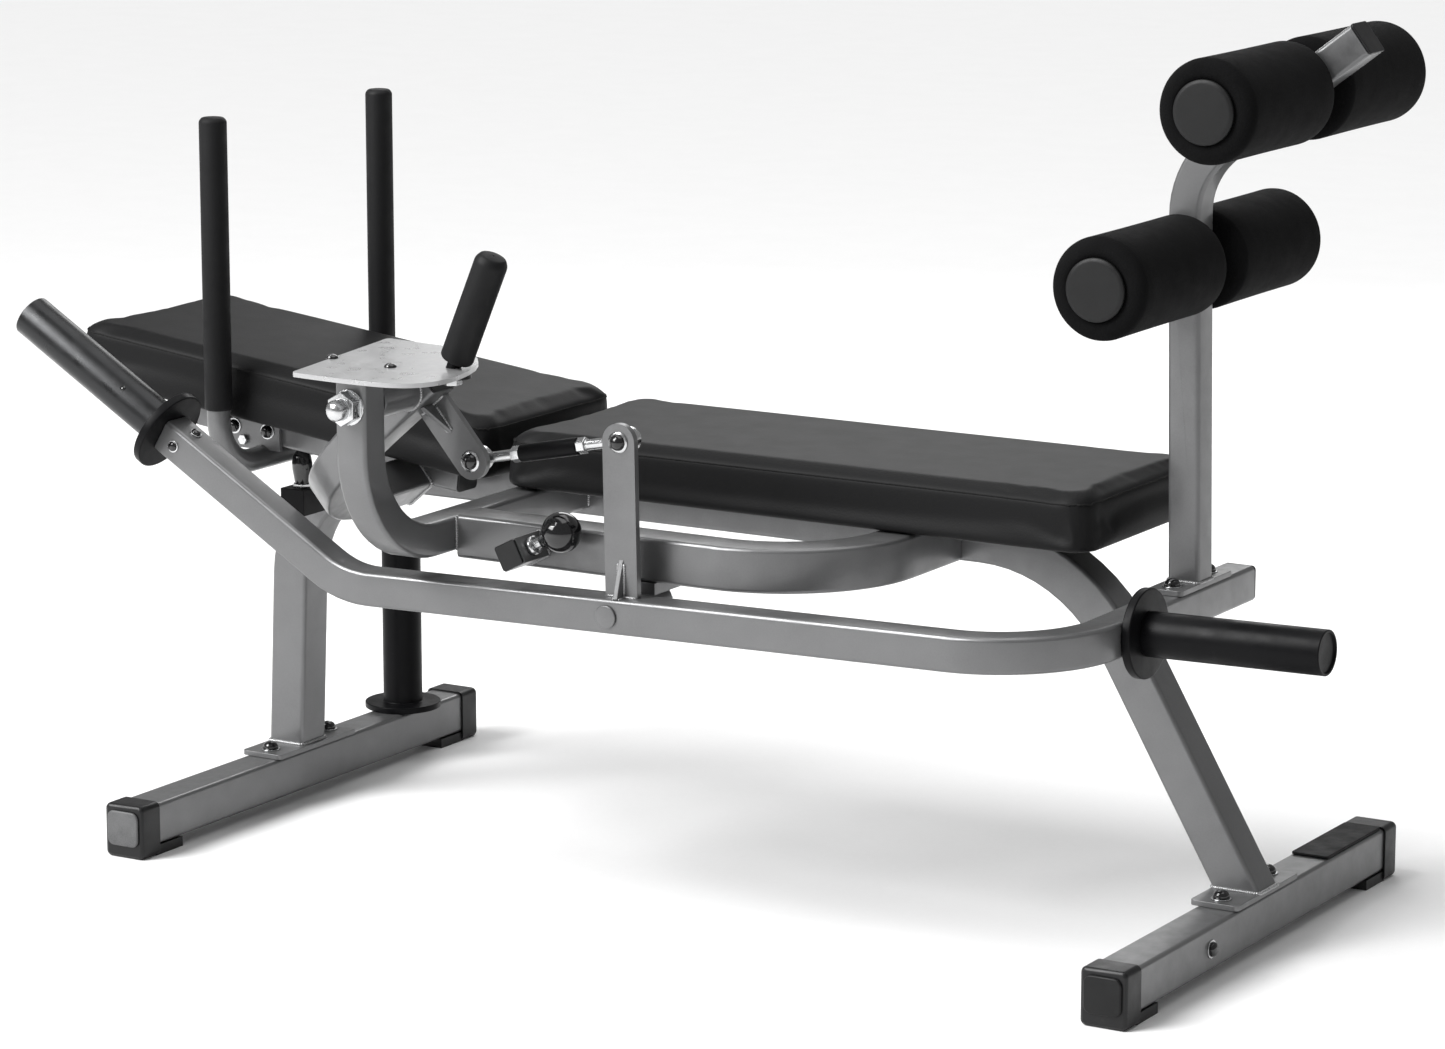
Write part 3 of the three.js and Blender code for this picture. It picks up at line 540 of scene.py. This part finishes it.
def upholstered(name, node, body, tilt):
    """A vinyl pad: a soft-edged block, blown up by cloth simulation, with gathers and a seam."""
    turn = Matrix.Rotation(tilt, 3, "Y")
    low, high = local_box(node, turn)
    shrink = Vector((PAD_SWELL, PAD_SWELL, 0))
    inner_low = low + shrink
    inner_high = high - shrink - Z * PAD_SWELL
    seam_z = inner_high.z - SEAM_DROP
    sections = [(3, inner_low.z), (0.5, inner_low.z + 4 * MM), (0, (inner_low.z + seam_z) / 2),
                (0.3, seam_z - 3 * MM), (1.5, seam_z + 1 * MM), (6, inner_high.z - 2.4 * MM),
                (14, inner_high.z - 1 * MM), (34, inner_high.z - 0.3 * MM), (75, inner_high.z)]
    rings = [outline_at(inner_low, inner_high, inset * MM, max(30 - inset / 2, 8) * MM, z)
             for inset, z in sections]
    verts = [p for ring in rings for p in ring]
    count = len(rings[0])
    faces = [tuple(range(count - 1, -1, -1)),
             tuple(range((len(rings) - 1) * count, len(rings) * count))]
    for level in range(len(rings) - 1):
        for i in range(count):
            n = (i + 1) % count
            faces.append((level * count + i, level * count + n, (level + 1) * count + n,
                          (level + 1) * count + i))
    mesh = bpy.data.meshes.new(name)
    mesh.from_pydata([tuple(v) for v in verts], [], faces)
    pad = bpy.data.objects.new(name, mesh)
    bpy.context.scene.collection.objects.link(pad)
    remesh = pad.modifiers.new("even mesh", "REMESH")
    remesh.mode = "VOXEL"
    remesh.voxel_size = VOXEL
    bpy.context.view_layer.update()
    applied(pad)
    inflate(pad, inner_low.z, 2 * PAD_SWELL)
    soften = pad.modifiers.new("soften", "SMOOTH")
    soften.factor = 0.5
    soften.iterations = 4
    bpy.context.view_layer.update()
    applied(pad)
    pull_in_corners(pad, low, high)
    crown(pad, low, high)
    seam_line = outline_at(low, high, 2 * MM, 31 * MM, high.z - SEAM_DROP)
    seam(f"{name}_seam", pad, seam_line, body, turn)
    pad.data.transform(turn.to_4x4())
    pad.modifiers.new("fine surface", "SUBSURF").levels = 1
    pad.modifiers["fine surface"].render_levels = 1
    for face in pad.data.polygons:
        face.use_smooth = True
    pad.data.materials.clear()
    pad.data.materials.append(FINISH["vinyl"])
    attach(pad, body)
    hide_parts(node)


def crown(pad, low, high):
    """Gives the top a slight rise along its middle, and keeps it inside the pad's own space."""
    half = (high - low) / 2
    centre = (high + low) / 2
    for vertex in pad.data.vertices:
        u = (vertex.co.x - centre.x) / half.x
        v = (vertex.co.y - centre.y) / half.y
        if vertex.co.z > centre.z:
            vertex.co.z += CROWN_RISE * max(0, 1 - u ** 4) * max(0, 1 - v ** 4)
            vertex.co.z = min(vertex.co.z, high.z + CROWN_LIMIT)
        vertex.co.z = max(vertex.co.z, low.z)


# ---- Foam rollers and grips -------------------------------------------------------------------
def soft_end(radius, across, along, height, direction, steps=8):
    """A foam sleeve's rounded end: points from its flat face out to its full radius."""
    return [(radius - across * (1 - math.sin(a)), height + direction * along * (1 - math.cos(a)))
            for a in np.linspace(0, math.pi / 2, steps)]


def make_rollers():
    for level in ("lower", "upper"):
        for side, sign in (("near", -1), ("far", 1)):
            body = f"{level}_roller_{side}"
            node = f"{level}_foam_roller_{side}"
            low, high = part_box(node)
            centre = (low + high) / 2
            outward = Y * sign
            start = Vector((centre.x, low.y if sign > 0 else high.y, centre.z))
            radius, length = (high.x - low.x) / 2, high.y - low.y
            inner_end = soft_end(radius, 12 * MM, 8 * MM, 0, 1)
            outer_end = soft_end(radius, 15 * MM, 12 * MM, length, -1)
            waist = [(radius * (1 - 0.006 * math.sin(math.pi * t)), length * t)
                     for t in np.linspace(0.15, 0.85, 7)]
            profile = [(ROLLER_BORE, 0), *inner_end, *waist, *reversed(outer_end),
                       (36 * MM, length - 0.3 * MM), (34.5 * MM, length - 2 * MM),
                       (ROLLER_BORE, length - 2 * MM)]
            foam = turned(f"{level}_foam_sleeve_{side}", start, outward, profile, body, "foam",
                          segments=96)
            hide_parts(node)
            face = start + outward * length
            cap_node = f"{level}_roller_cap_{side}"
            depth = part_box(cap_node)[1].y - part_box(cap_node)[0].y
            dish = [(ROLLER_CAP_RADIUS * t, GAP + depth * (1 - 0.14 * t ** 2)) for t in
                    np.linspace(0.9, 0.05, 10)]
            cap = turned(f"{level}_end_disc_{side}", face, outward,
                         [(0, GAP), (ROLLER_CAP_RADIUS, GAP),
                          (ROLLER_CAP_RADIUS, GAP + depth * 0.62), *dish, (0, GAP + depth)],
                         body, "grey_plastic", 1.2 * MM, 96)
            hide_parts(cap_node)
            turned(f"{level}_spacer_{side}", start - outward * 1.7 * MM, outward,
                   [(ROLLER_BORE, 0), (SPACER_RADIUS, 0), (SPACER_RADIUS, SPACER_DEPTH),
                    (ROLLER_BORE, SPACER_DEPTH)],
                   "lever", "black_plastic", segments=48)


def make_grips():
    for side in ("near", "far"):
        node = f"handle_grip_{side}"
        low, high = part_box(node)
        centre = (low + high) / 2
        radius, length = (high.x - low.x) / 2, high.z - low.z
        profile = [(GRIP_BORE, 0), (radius - 0.8 * MM, 0), (radius, 2.5 * MM), (radius, length * 0.5),
                   (radius, length - 5 * MM), (radius * 0.78, length - 0.6 * MM), (0, length),
                   (0, length - 5 * MM), (GRIP_BORE, length - 5.4 * MM)]
        grip = turned(f"long_grip_{side}", Vector((centre.x, centre.y, low.z)), Z,
                      profile, "back_rest", "rubber", 2.2 * MM, 64)
        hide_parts(node)
    low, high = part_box("side_grip_stem")
    lean = Vector((math.sin(SIDE_GRIP_LEAN), 0, math.cos(SIDE_GRIP_LEAN)))
    foot = Vector((low.x + 9 * MM, (low.y + high.y) / 2, low.z))
    length, radius, start = SIDE_GRIP_LENGTH, SIDE_GRIP_RADIUS, SIDE_GRIP_START
    profile = [(SIDE_GRIP_BORE, start), (radius - 2 * MM, start), (radius, start + 3 * MM),
               (radius, length * 0.5), (radius, length - 8 * MM),
               (radius - 4 * MM, length - 1 * MM), (0, length), (0, length - SIDE_GRIP_CROWN),
               (SIDE_GRIP_BORE, length - SIDE_GRIP_CROWN)]
    grip = turned("side_grip_sleeve", foot, lean, profile, "frame", "rubber", 2.5 * MM, 64)
    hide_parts("side_grip")


# ---- Plate horns, collars and round caps ------------------------------------------------------
def make_horns():
    for name, finish in (("rear", "grey_steel"), ("front", "black_steel")):
        root, tip = middle(f"{name}_collar"), middle(f"{name}_weight_horn")
        outward = (tip - root).normalized()
        half_collar = COLLAR_DEPTH / 2
        collar = turned(f"{name}_plate_collar", root - outward * half_collar, outward,
                        [(0, 0), (COLLAR_RADIUS, 0), (COLLAR_RADIUS, COLLAR_DEPTH),
                         (0, COLLAR_DEPTH)], "lever", "black_steel", 1.6 * MM, 96)
        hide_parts(f"{name}_collar")
        length = 2 * ((tip - root).length - half_collar - GAP)
        start = root + outward * (half_collar + GAP)
        horn = turned(f"{name}_plate_sleeve", start, outward,
                      [(0, 0), (SLEEVE_RADIUS, 0), (SLEEVE_RADIUS, length),
                       (SLEEVE_BORE, length), (SLEEVE_BORE, length - SLEEVE_RECESS),
                       (0, length - SLEEVE_RECESS)], "lever", finish, 1.2 * MM, 96)
        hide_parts(f"{name}_weight_horn")
        if name == "rear":
            turned("rear_sleeve_ring", start, outward,
                   [(24.9 * MM, 0), (28.5 * MM, 0), (26.2 * MM, 7 * MM), (24.9 * MM, 7 * MM)],
                   "lever", "zinc", 0.6 * MM, 96)
            up = Vector((outward.z, 0, -outward.x))
            up = up if up.z > 0 else -up
            aside = (up * 0.62 - Y * 0.78).normalized()
            spot = start + outward * length * 0.27 + aside * 24.4 * MM
            turned("rear_sleeve_pin_hole", spot, aside,
                   [(0, 0), (3.4 * MM, 0), (3.4 * MM, 0.55 * MM), (0, 0.4 * MM)],
                   "lever", "gloss_plastic", segments=28)
            tube_end = root - outward * (half_collar + GAP)
            for label, normal, run in (("top", up, 30), ("side", -Y, 22)):
                place = tube_end - outward * run * MM + normal * 20 * MM
                dome_cap(f"rear_set_screw_{label}", place, normal, "lever", 5.5 * MM, 3.5 * MM)
        else:
            weld("front_collar_bead", ring_points(root - outward * 5.2 * MM, outward, 19 * MM),
                 "lever", closed=True, radius=1.8 * MM)
    low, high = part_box("storage_horn")
    centre = (low + high) / 2
    top = high.z - low.z
    horn = turned("storage_sleeve", Vector((centre.x, centre.y, low.z)), Z,
                  [(0, 0), (STORAGE_COLLAR_RADIUS, 0),
                   (STORAGE_COLLAR_RADIUS, STORAGE_COLLAR_DEPTH),
                   (SLEEVE_RADIUS, STORAGE_COLLAR_DEPTH), (SLEEVE_RADIUS, top),
                   (SLEEVE_BORE, top), (SLEEVE_BORE, top - SLEEVE_RECESS),
                   (0, top - SLEEVE_RECESS)], "frame", "black_steel", 1.4 * MM, 96)
    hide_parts("storage_horn")


def make_pins():
    """The domed link pins, and the pull knob on its steel pin."""
    for name, body, shank in (("crank_pin", "back_rest", 4), ("strut_pin", "lever", 5.8)):
        low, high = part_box(name)
        centre = (low + high) / 2
        arc = [(9.3 * MM * math.cos(a), -PIN_HEAD * math.sin(a)) for a in
               np.linspace(math.pi / 2, 0.12, 12)]
        length = high.y - low.y - PIN_HEAD
        profile = [(0, -PIN_HEAD), *arc[1:], (9.6 * MM, 0), (shank * MM, 0),
                   (shank * MM, length), (0, length)]
        pin = turned(f"{name}_capped", Vector((centre.x, low.y + PIN_HEAD, centre.z)), Y,
                     profile, body, "gloss_plastic", segments=48)
        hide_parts(name)
        turned(f"{name}_washer", Vector((centre.x, low.y + PIN_HEAD - 0.1 * MM, centre.z)), Y,
               [(shank * MM, -0.9 * MM), (12 * MM, -0.9 * MM), (12 * MM, 0.3 * MM),
                (shank * MM, 0.3 * MM)], body, "zinc", segments=48)
        if body == "lever":
            hex_nut(f"{name}_lock_nut", Vector((centre.x, high.y - 3.4 * MM, centre.z)), Y, body,
                    9.5 * MM, 7 * MM)
    along = Vector((math.cos(PIN_ANGLE), 0, math.sin(PIN_ANGLE)))
    housing = middle("pin_housing")
    knob_y = middle("pull_pin").y
    root = Vector((housing.x, knob_y, housing.z))
    knob_profile = [(0, KNOB_ROOT), (9 * MM, KNOB_ROOT), (11.5 * MM, KNOB_ROOT + 5 * MM)]
    knob_profile += [(KNOB_RADIUS * math.sin(a), KNOB_MIDDLE - 22.5 * MM * math.cos(a))
                     for a in np.linspace(0.75, math.pi - 0.06, 22)]
    knob = turned("pull_knob", root, along, [*knob_profile, (0, KNOB_MIDDLE + 22.5 * MM)],
                  "pull_pin", "gloss_plastic", segments=72)
    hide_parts("pull_pin")
    turned("pull_pin_shank", root, along,
           [(0, -8.5 * MM), (6 * MM, -8.5 * MM), (6 * MM, KNOB_ROOT), (0, KNOB_ROOT)],
           "pull_pin", "zinc", 0.5 * MM, 40)
    low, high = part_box("rubber_bumper")
    centre = (low + high) / 2
    height = high.z - low.z
    pear = [(0, 0), (9, 0), (9.4, 5), (10.6, 12), (12.2, 21), (12.5, 29), (10.8, 37), (7, 43)]
    bumper = turned("bumper_pear", Vector((centre.x, centre.y, low.z)), Z,
                    [(r * MM, h * MM) for r, h in pear] + [(0, height)],
                    "frame", "gloss_plastic", 2 * MM, 56)
    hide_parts("rubber_bumper")
    hex_nut("bumper_nut", Vector((centre.x, centre.y, low.z - GAP)), Z, "frame", 12.5 * MM, 4 * MM)


# ---- Fasteners, gussets, plugs and other small fittings ---------------------------------------
def make_foot_fittings():
    for name in ("rear", "front"):
        low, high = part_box(f"{name}_foot_flange")
        for side, sign in (("near", -1), ("far", 1)):
            spot = Vector(((low.x + high.x) / 2, CENTRE_Y + sign * FOOT_BOLT_SPREAD, high.z))
            dome_cap(f"{name}_foot_bolt_{side}", spot, Z, "frame", 9 * MM, 9 * MM)
    tube_low, tube_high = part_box("front_foot_tube")
    across = (tube_low.x + tube_high.x) / 2
    strip = Vector((across, CENTRE_Y + FOOT_STRIP_Y, tube_high.z + GAP + 1.6 * MM))
    plate("front_foot_strip",
          rounded_square(strip, X, Y, FOOT_STRIP_WIDE, FOOT_STRIP_LONG, 4 * MM),
          Z * 3.2 * MM, "frame", "rubber", 1.1 * MM)
    mid_z = (tube_low.z + tube_high.z) / 2
    dome_cap("front_foot_side_bolt", Vector((tube_high.x, CENTRE_Y + SIDE_BOLT_Y, mid_z)), X,
             "frame", 8 * MM, 6 * MM)
    for name in ("rear", "front"):
        for side, sign in (("near", -1), ("far", 1)):
            low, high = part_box(f"{name}_foot_cap_{side}")
            end = high.y if sign > 0 else low.y
            face = Vector(((low.x + high.x) / 2, end + sign * 1.7 * MM, high.z * 0.56))
            plate(f"{name}_foot_cap_face_{side}",
                  rounded_square(face, X, Z, CAP_FACE_WIDE, CAP_FACE_TALL, 9 * MM),
                  Y * CAP_FACE_THICK, "frame",
                  "cap_insert" if (name, side) == ("rear", "near") else "grey_plastic", 1.8 * MM)
    low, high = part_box("rear_foot_flange")
    x, z = (low.x + high.x) / 2, high.z + GAP
    y = CENTRE_Y + 25.3 * MM
    plate("rear_post_gusset", [Vector((x, y, z)), Vector((x, y + 22 * MM, z)),
                               Vector((x, y, z + 46 * MM))], X * 6 * MM, "frame", "silver")


def make_pivot_fittings():
    spot = pivot("back_hinge")
    arm_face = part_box("moving_arm_tube")[0].y
    inner = spot.y + 22.5 * MM
    turned("pivot_washer", Vector((spot.x, inner + GAP, spot.z)), Y,
           [(10.2 * MM, 0), (20 * MM, 0), (20 * MM, 1.6 * MM), (10.2 * MM, 1.6 * MM)],
           "frame", "zinc", segments=56)
    hex_nut("pivot_lock_nut", Vector((spot.x, inner + 2.2 * MM, spot.z)), Y, "frame", 16 * MM,
            11 * MM)
    weld("pivot_housing_bead", ring_points(Vector((spot.x, arm_face, spot.z)), Y, 20 * MM, 40),
         "back_rest", closed=True, radius=1.8 * MM)
    along = Vector((math.cos(ARM_ANGLE), 0, math.sin(ARM_ANGLE)))
    upward = Vector((-along.z, 0, along.x))
    end = spot + along * 29.4 * MM
    plate("moving_arm_plug", rounded_square(end, Y, upward, 42 * MM, 42 * MM, 4 * MM),
          along * 2 * MM, "back_rest", "black_plastic")
    axis = pivot("lever_hinge")
    near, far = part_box("lever_pivot_tube")
    lever_far = axis.y + 20 * MM
    turned("lever_bush", Vector((axis.x, lever_far + GAP, axis.z)), Y,
           [(10 * MM, 0), (18 * MM, 0), (18 * MM, near.y - lever_far - 2 * GAP),
            (10 * MM, near.y - lever_far - 2 * GAP)], "lever", "black_plastic", segments=56)
    turned("lever_shaft_washer", Vector((axis.x, far.y + GAP, axis.z)), Y,
           [(0, 0), (15 * MM, 0), (15 * MM, 2 * MM), (0, 2 * MM)], "lever", "zinc", 0.5 * MM, 48)
    hex_nut("lever_shaft_nut", Vector((axis.x, far.y + 2.6 * MM, axis.z)), Y, "lever", 12 * MM,
            8 * MM)


def make_top_plate_fittings():
    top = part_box("top_plate")[1].z
    for index, (fx, fy) in enumerate(((0.115, 0.42), (0.54, 0.36))):
        spot = part_way("top_plate", fx, fy, 1)
        slotted_screw(f"top_plate_screw_{index}", spot, "frame", 7 * MM, 4.6 * MM)
    low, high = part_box("side_grip_stem")
    spot = Vector((low.x + 7 * MM, (low.y + high.y) / 2, top - 5 * MM - GAP))
    turned("side_grip_under_disc", spot, -Z, [(0, 0), (21 * MM, 0), (21 * MM, 6 * MM), (0, 6 * MM)],
           "frame", "black_plastic", 1.2 * MM, 56)
    hex_nut("side_grip_nut", spot - Z * 6.3 * MM, -Z, "frame", 11 * MM, 7 * MM)


def make_link_fittings():
    """Gussets with their beads on the crank plate and at the strut's foot."""
    spot = pivot("back_hinge")
    along = Vector((math.cos(ARM_ANGLE), 0, math.sin(ARM_ANGLE)))
    down = Vector((along.z, 0, -along.x))
    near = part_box("crank_plate")[0].y - GAP
    root = Vector((spot.x, near, spot.z)) + down * 23.2 * MM
    corners = [root, root - Y * 21 * MM, root + down * 38 * MM]
    plate("crank_gusset", corners, along * 5 * MM, "back_rest", "silver")
    for index, side in enumerate((-1, 1)):
        shift = along * side * 3.2 * MM
        weld(f"crank_gusset_bead_{index}", [root + shift + down * 3 * MM,
                                            root + shift + down * 36 * MM], "back_rest",
             radius=1.7 * MM)
    weld("crank_root_bead", [root - along * 19 * MM, root + along * 19 * MM], "back_rest",
         radius=1.8 * MM)

    low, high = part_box("strut_plate")
    foot = Vector((high.x - 20.5 * MM, low.y - GAP, low.z))
    plate("strut_gusset_near", [foot, foot - Y * 13.5 * MM, foot + Z * 42 * MM],
          X * 6 * MM, "lever", "silver")
    back = Vector((foot.x, high.y + GAP, low.z))
    plate("strut_gusset_far", [back, back + Y * 15 * MM, back + Z * 34 * MM],
          X * 6 * MM, "lever", "silver")
    for index, side in enumerate((-1, 1)):
        shift = X * side * 3.8 * MM
        weld(f"strut_gusset_bead_{index}", [foot + shift + Z * 2 * MM, foot + shift + Z * 38 * MM],
             "lever", radius=1.8 * MM)
        weld(f"strut_gusset_foot_bead_{index}", [foot + shift, foot + shift - Y * 12 * MM],
             "lever", radius=1.6 * MM)
    for label, y in (("near", foot.y), ("far", back.y)):
        start = Vector((foot.x - 19 * MM, y, low.z + 0.6 * MM))
        weld(f"strut_root_bead_{label}", [start, start + X * 38 * MM], "lever", radius=1.7 * MM)


def make_plugs():
    housing, low = middle("pin_housing"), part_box("pin_housing")[0]
    across = Vector((math.cos(PIN_ANGLE), 0, math.sin(PIN_ANGLE)))
    up = Vector((-across.z, 0, across.x))
    spot = Vector((housing.x, low.y - 2.0 * MM, housing.z))
    plate("pin_housing_plug", rounded_square(spot, across, up, 29 * MM, 29 * MM, 3 * MM),
          Y * 3.4 * MM, "frame", "black_plastic", 1 * MM)
    face = Vector((housing.x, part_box("pin_housing")[1].y, housing.z))
    weld("pin_housing_bead", rounded_square(face, across, up, 30 * MM, 30 * MM, 2 * MM, 2),
         "frame", closed=True, radius=1.7 * MM)
    turned("pull_pin_collar", Vector((housing.x, middle("pull_pin").y, housing.z))
           + across * 15.2 * MM, across,
           [(6.4 * MM, 0), (10.5 * MM, 0), (10.5 * MM, 7 * MM), (6.4 * MM, 7 * MM)],
           "frame", "zinc", segments=48)

    turn = Matrix.Rotation(BACK_TILT, 3, "Y")
    low, high = local_box("back_pad_rail", turn)
    for label, x, sign in (("head", low.x, -1), ("hip", high.x, 1)):
        centre = turn @ Vector((x + sign * 1.5 * MM, (low.y + high.y) / 2, (low.z + high.z) / 2))
        plate(f"back_rail_plug_{label}",
              rounded_square(centre, Y, turn @ Z, PLUG_SIZE, PLUG_SIZE, PLUG_CORNER),
              (turn @ X) * PLUG_THICK, "back_rest", "black_plastic", 1 * MM)
    lever_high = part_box("lever_tube")[1]
    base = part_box("roller_post_base")[0].z
    centre = Vector((lever_high.x - 20 * MM, lever_high.y + 1.6 * MM, base - 19.5 * MM))
    plate("lever_end_plug", rounded_square(centre, X, Z, PLUG_SIZE, PLUG_SIZE, PLUG_CORNER),
          Y * PLUG_THICK, "lever", "black_plastic", 1 * MM)
    post = pivot("upper_roller_near_spin")
    run = Vector((math.cos(POST_ANGLE), 0, math.sin(POST_ANGLE)))
    centre = Vector((post.x, CENTRE_Y, post.z)) + run * (POST_BEYOND_AXLE + 1.8 * MM)
    side = Vector((-run.z, 0, run.x))
    plate("roller_post_cap", rounded_square(centre, Y, side, 38 * MM, 38 * MM, 4 * MM),
          run * 3 * MM, "lever", "black_plastic", 1 * MM)


def make_bolts():
    for index, (fx, fz) in enumerate(((0.78, 0.66), (0.16, 0.74))):
        spot = part_way("handle_bracket", fx, 0, fz)
        dome_cap(f"handle_bracket_bolt_{index}", spot, -Y, "back_rest", 7.5 * MM, 6 * MM)
    hex_nut("handle_bracket_nut", part_way("handle_bracket", 0.34, 0, 0.3), -Y, "back_rest",
            6.5 * MM, 5 * MM)
    low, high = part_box("roller_post_base")
    for side, sign in (("near", -1), ("far", 1)):
        spot = Vector(((low.x + high.x) / 2, CENTRE_Y + sign * 45 * MM, high.z - 0.4 * MM))
        dome_cap(f"roller_post_bolt_{side}", spot, Z, "lever", 8.5 * MM, 8 * MM)
    for name in ("rear", "front"):
        low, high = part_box(f"seat_bracket_{name}")
        for side, sign in (("near", -1), ("far", 1)):
            spot = Vector(((low.x + high.x) / 2, CENTRE_Y + sign * 92 * MM, high.z - 5.2 * MM))
            hex_nut(f"seat_screw_{name}_{side}", spot, -Z, "frame", 7 * MM, 5 * MM)


def make_beads():
    """Weld beads where tubes and plates meet."""
    tube_low, tube_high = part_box("main_frame_tube")
    base = tube_low.z + 0.4 * MM
    half = 25 * MM
    for name, x0, x1 in (("rear_post", tube_low.x, tube_low.x + 50 * MM),
                         ("front_leg", tube_high.x - 58 * MM, tube_high.x)):
        centre = Vector(((x0 + x1) / 2, CENTRE_Y, base))
        weld(f"{name}_bead", rounded_square(centre, X, Y, x1 - x0 + 0.6 * MM, 2 * half + MM,
                                            5 * MM, 3), "frame", closed=True, radius=2.2 * MM)
    post_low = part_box("roller_post")[0]
    centre = Vector((middle("roller_post_base").x, CENTRE_Y, post_low.z + 0.4 * MM))
    weld("roller_post_bead", rounded_square(centre, X, Y, 38.6 * MM, 38.6 * MM, 5 * MM, 3),
         "lever", closed=True, radius=2 * MM)
    rail_low, rail_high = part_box("side_rail_tube")
    arm_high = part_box("fixed_arm_tube")[1]
    x = arm_high.x + 0.2 * MM
    weld("rail_arm_bead", [Vector((x, rail_low.y, rail_low.z + 9 * MM)),
                           Vector((x, rail_low.y, rail_high.z - 3 * MM)),
                           Vector((x, rail_low.y + 48 * MM, rail_high.z - 2 * MM))],
         "frame", radius=1.9 * MM)
    end = rail_high.y
    weld("rail_spine_bead", [Vector((rail_high.x - 50 * MM, end, rail_low.z + 4 * MM)),
                             Vector((rail_high.x - 50 * MM, end, rail_high.z - 4 * MM))],
         "frame", radius=2 * MM)
    arm_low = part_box("fixed_arm_tube")[0]
    for index, x in enumerate((arm_low.x, arm_high.x)):
        weld(f"arm_spine_bead_{index}", [Vector((x, arm_high.y, ARM_BEAD_LOW)),
                                         Vector((x, arm_high.y, ARM_BEAD_HIGH))], "frame",
             radius=1.9 * MM)
    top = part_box("top_plate")[0].z - 0.4 * MM
    centre = Vector(((arm_low.x + arm_high.x) / 2, arm_low.y + 20 * MM, top))
    weld("top_plate_bead", rounded_square(centre, X, Y, 40.6 * MM, 40.6 * MM, 5 * MM, 3),
         "frame", closed=True, radius=1.8 * MM)
    low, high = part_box("lever_pivot_tube")
    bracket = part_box("lever_pivot_bracket")[0]
    for index, side in enumerate((-1, 1)):
        x = (low.x + high.x) / 2 + side * 9 * MM
        weld(f"lever_tube_bead_{index}", [Vector((x, low.y + 8 * MM, bracket.z)),
                                          Vector((x, high.y - 8 * MM, bracket.z))], "frame",
             radius=1.8 * MM)
    leg_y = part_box("moving_arm_tube")[1].y
    across = Vector((math.cos(ARM_ANGLE), 0, math.sin(ARM_ANGLE)))
    leg = pivot("back_hinge") - across * ARM_LEG_REACH
    centre = Vector((leg.x, leg_y - 0.2 * MM, leg.z))
    up = Vector((-across.z, 0, across.x))
    weld("arm_rail_bead", rounded_square(centre, across, up, 45.5 * MM, 45.5 * MM, 5 * MM, 3),
         "back_rest", closed=True, radius=1.9 * MM)


# ---- Studio -----------------------------------------------------------------------------------
def add_area(name, spot, size, power):
    """A soft rectangular lamp that faces the bench."""
    lamp = bpy.data.lights.new(name, "AREA")
    lamp.shape = "RECTANGLE"
    lamp.size, lamp.size_y = size
    lamp.energy = power
    obj = bpy.data.objects.new(name, lamp)
    bpy.context.scene.collection.objects.link(obj)
    obj.location = spot
    obj.rotation_euler = (Vector(LIGHT_AIM) - Vector(spot)).to_track_quat("-Z", "Y").to_euler()


def make_studio():
    mesh = bpy.data.meshes.new("floor")
    corners = [(a * FLOOR_HALF, b * FLOOR_HALF, 0) for a, b in ((-1, -1), (1, -1), (1, 1), (-1, 1))]
    mesh.from_pydata(corners, [], [(0, 1, 2, 3)])
    floor = bpy.data.objects.new("floor", mesh)
    bpy.context.scene.collection.objects.link(floor)
    mesh.materials.append(surface("pale floor", (0.9, 0.9, 0.9), 0.8, mottle=0.01,
                                  grain_scale=200))
    world = bpy.data.worlds.new("studio")
    bpy.context.scene.world = world
    world.use_nodes = True
    sky = world.node_tree.nodes["Background"]
    sky.inputs["Color"].default_value = (1, 1, 1, 1)
    sky.inputs["Strength"].default_value = AMBIENT
    sun = bpy.data.lights.new("soft sun", "SUN")
    sun.energy = SUN_POWER
    sun.angle = SUN_SPREAD
    lamp = bpy.data.objects.new("soft sun", sun)
    bpy.context.scene.collection.objects.link(lamp)
    lamp.rotation_euler = SUN_WAY.to_track_quat("-Z", "Y").to_euler()
    for name, (spot, area, power) in LAMPS.items():
        add_area(name, spot, area, power)
    bpy.context.scene.view_settings.view_transform = "Standard"


def make_camera():
    data = bpy.data.cameras.new("camera")
    data.lens = LENS
    data.sensor_width = 36
    camera = bpy.data.objects.new("camera", data)
    bpy.context.scene.collection.objects.link(camera)
    toward = Vector((-math.sin(VIEW_AZIMUTH) * math.cos(VIEW_ELEVATION),
                     math.cos(VIEW_AZIMUTH) * math.cos(VIEW_ELEVATION),
                     -math.sin(VIEW_ELEVATION)))
    foot = middle("rear_foot_tube")
    aim = Vector((foot.x, foot.y, 0)) + AIM_FROM_REAR_FOOT
    camera.location = aim - toward * VIEW_DISTANCE
    camera.rotation_euler = toward.to_track_quat("-Z", "Y").to_euler()
    bpy.context.scene.camera = camera


make_camera()
make_studio()
finish_cad_nodes()
upholstered("seat_cushion", "seat_pad", "frame", 0.0)
upholstered("back_cushion", "back_pad", "back_rest", BACK_TILT)
make_rollers()
make_grips()
make_horns()
make_pins()
make_foot_fittings()
make_pivot_fittings()
make_top_plate_fittings()
make_link_fittings()
make_plugs()
make_bolts()
make_beads()
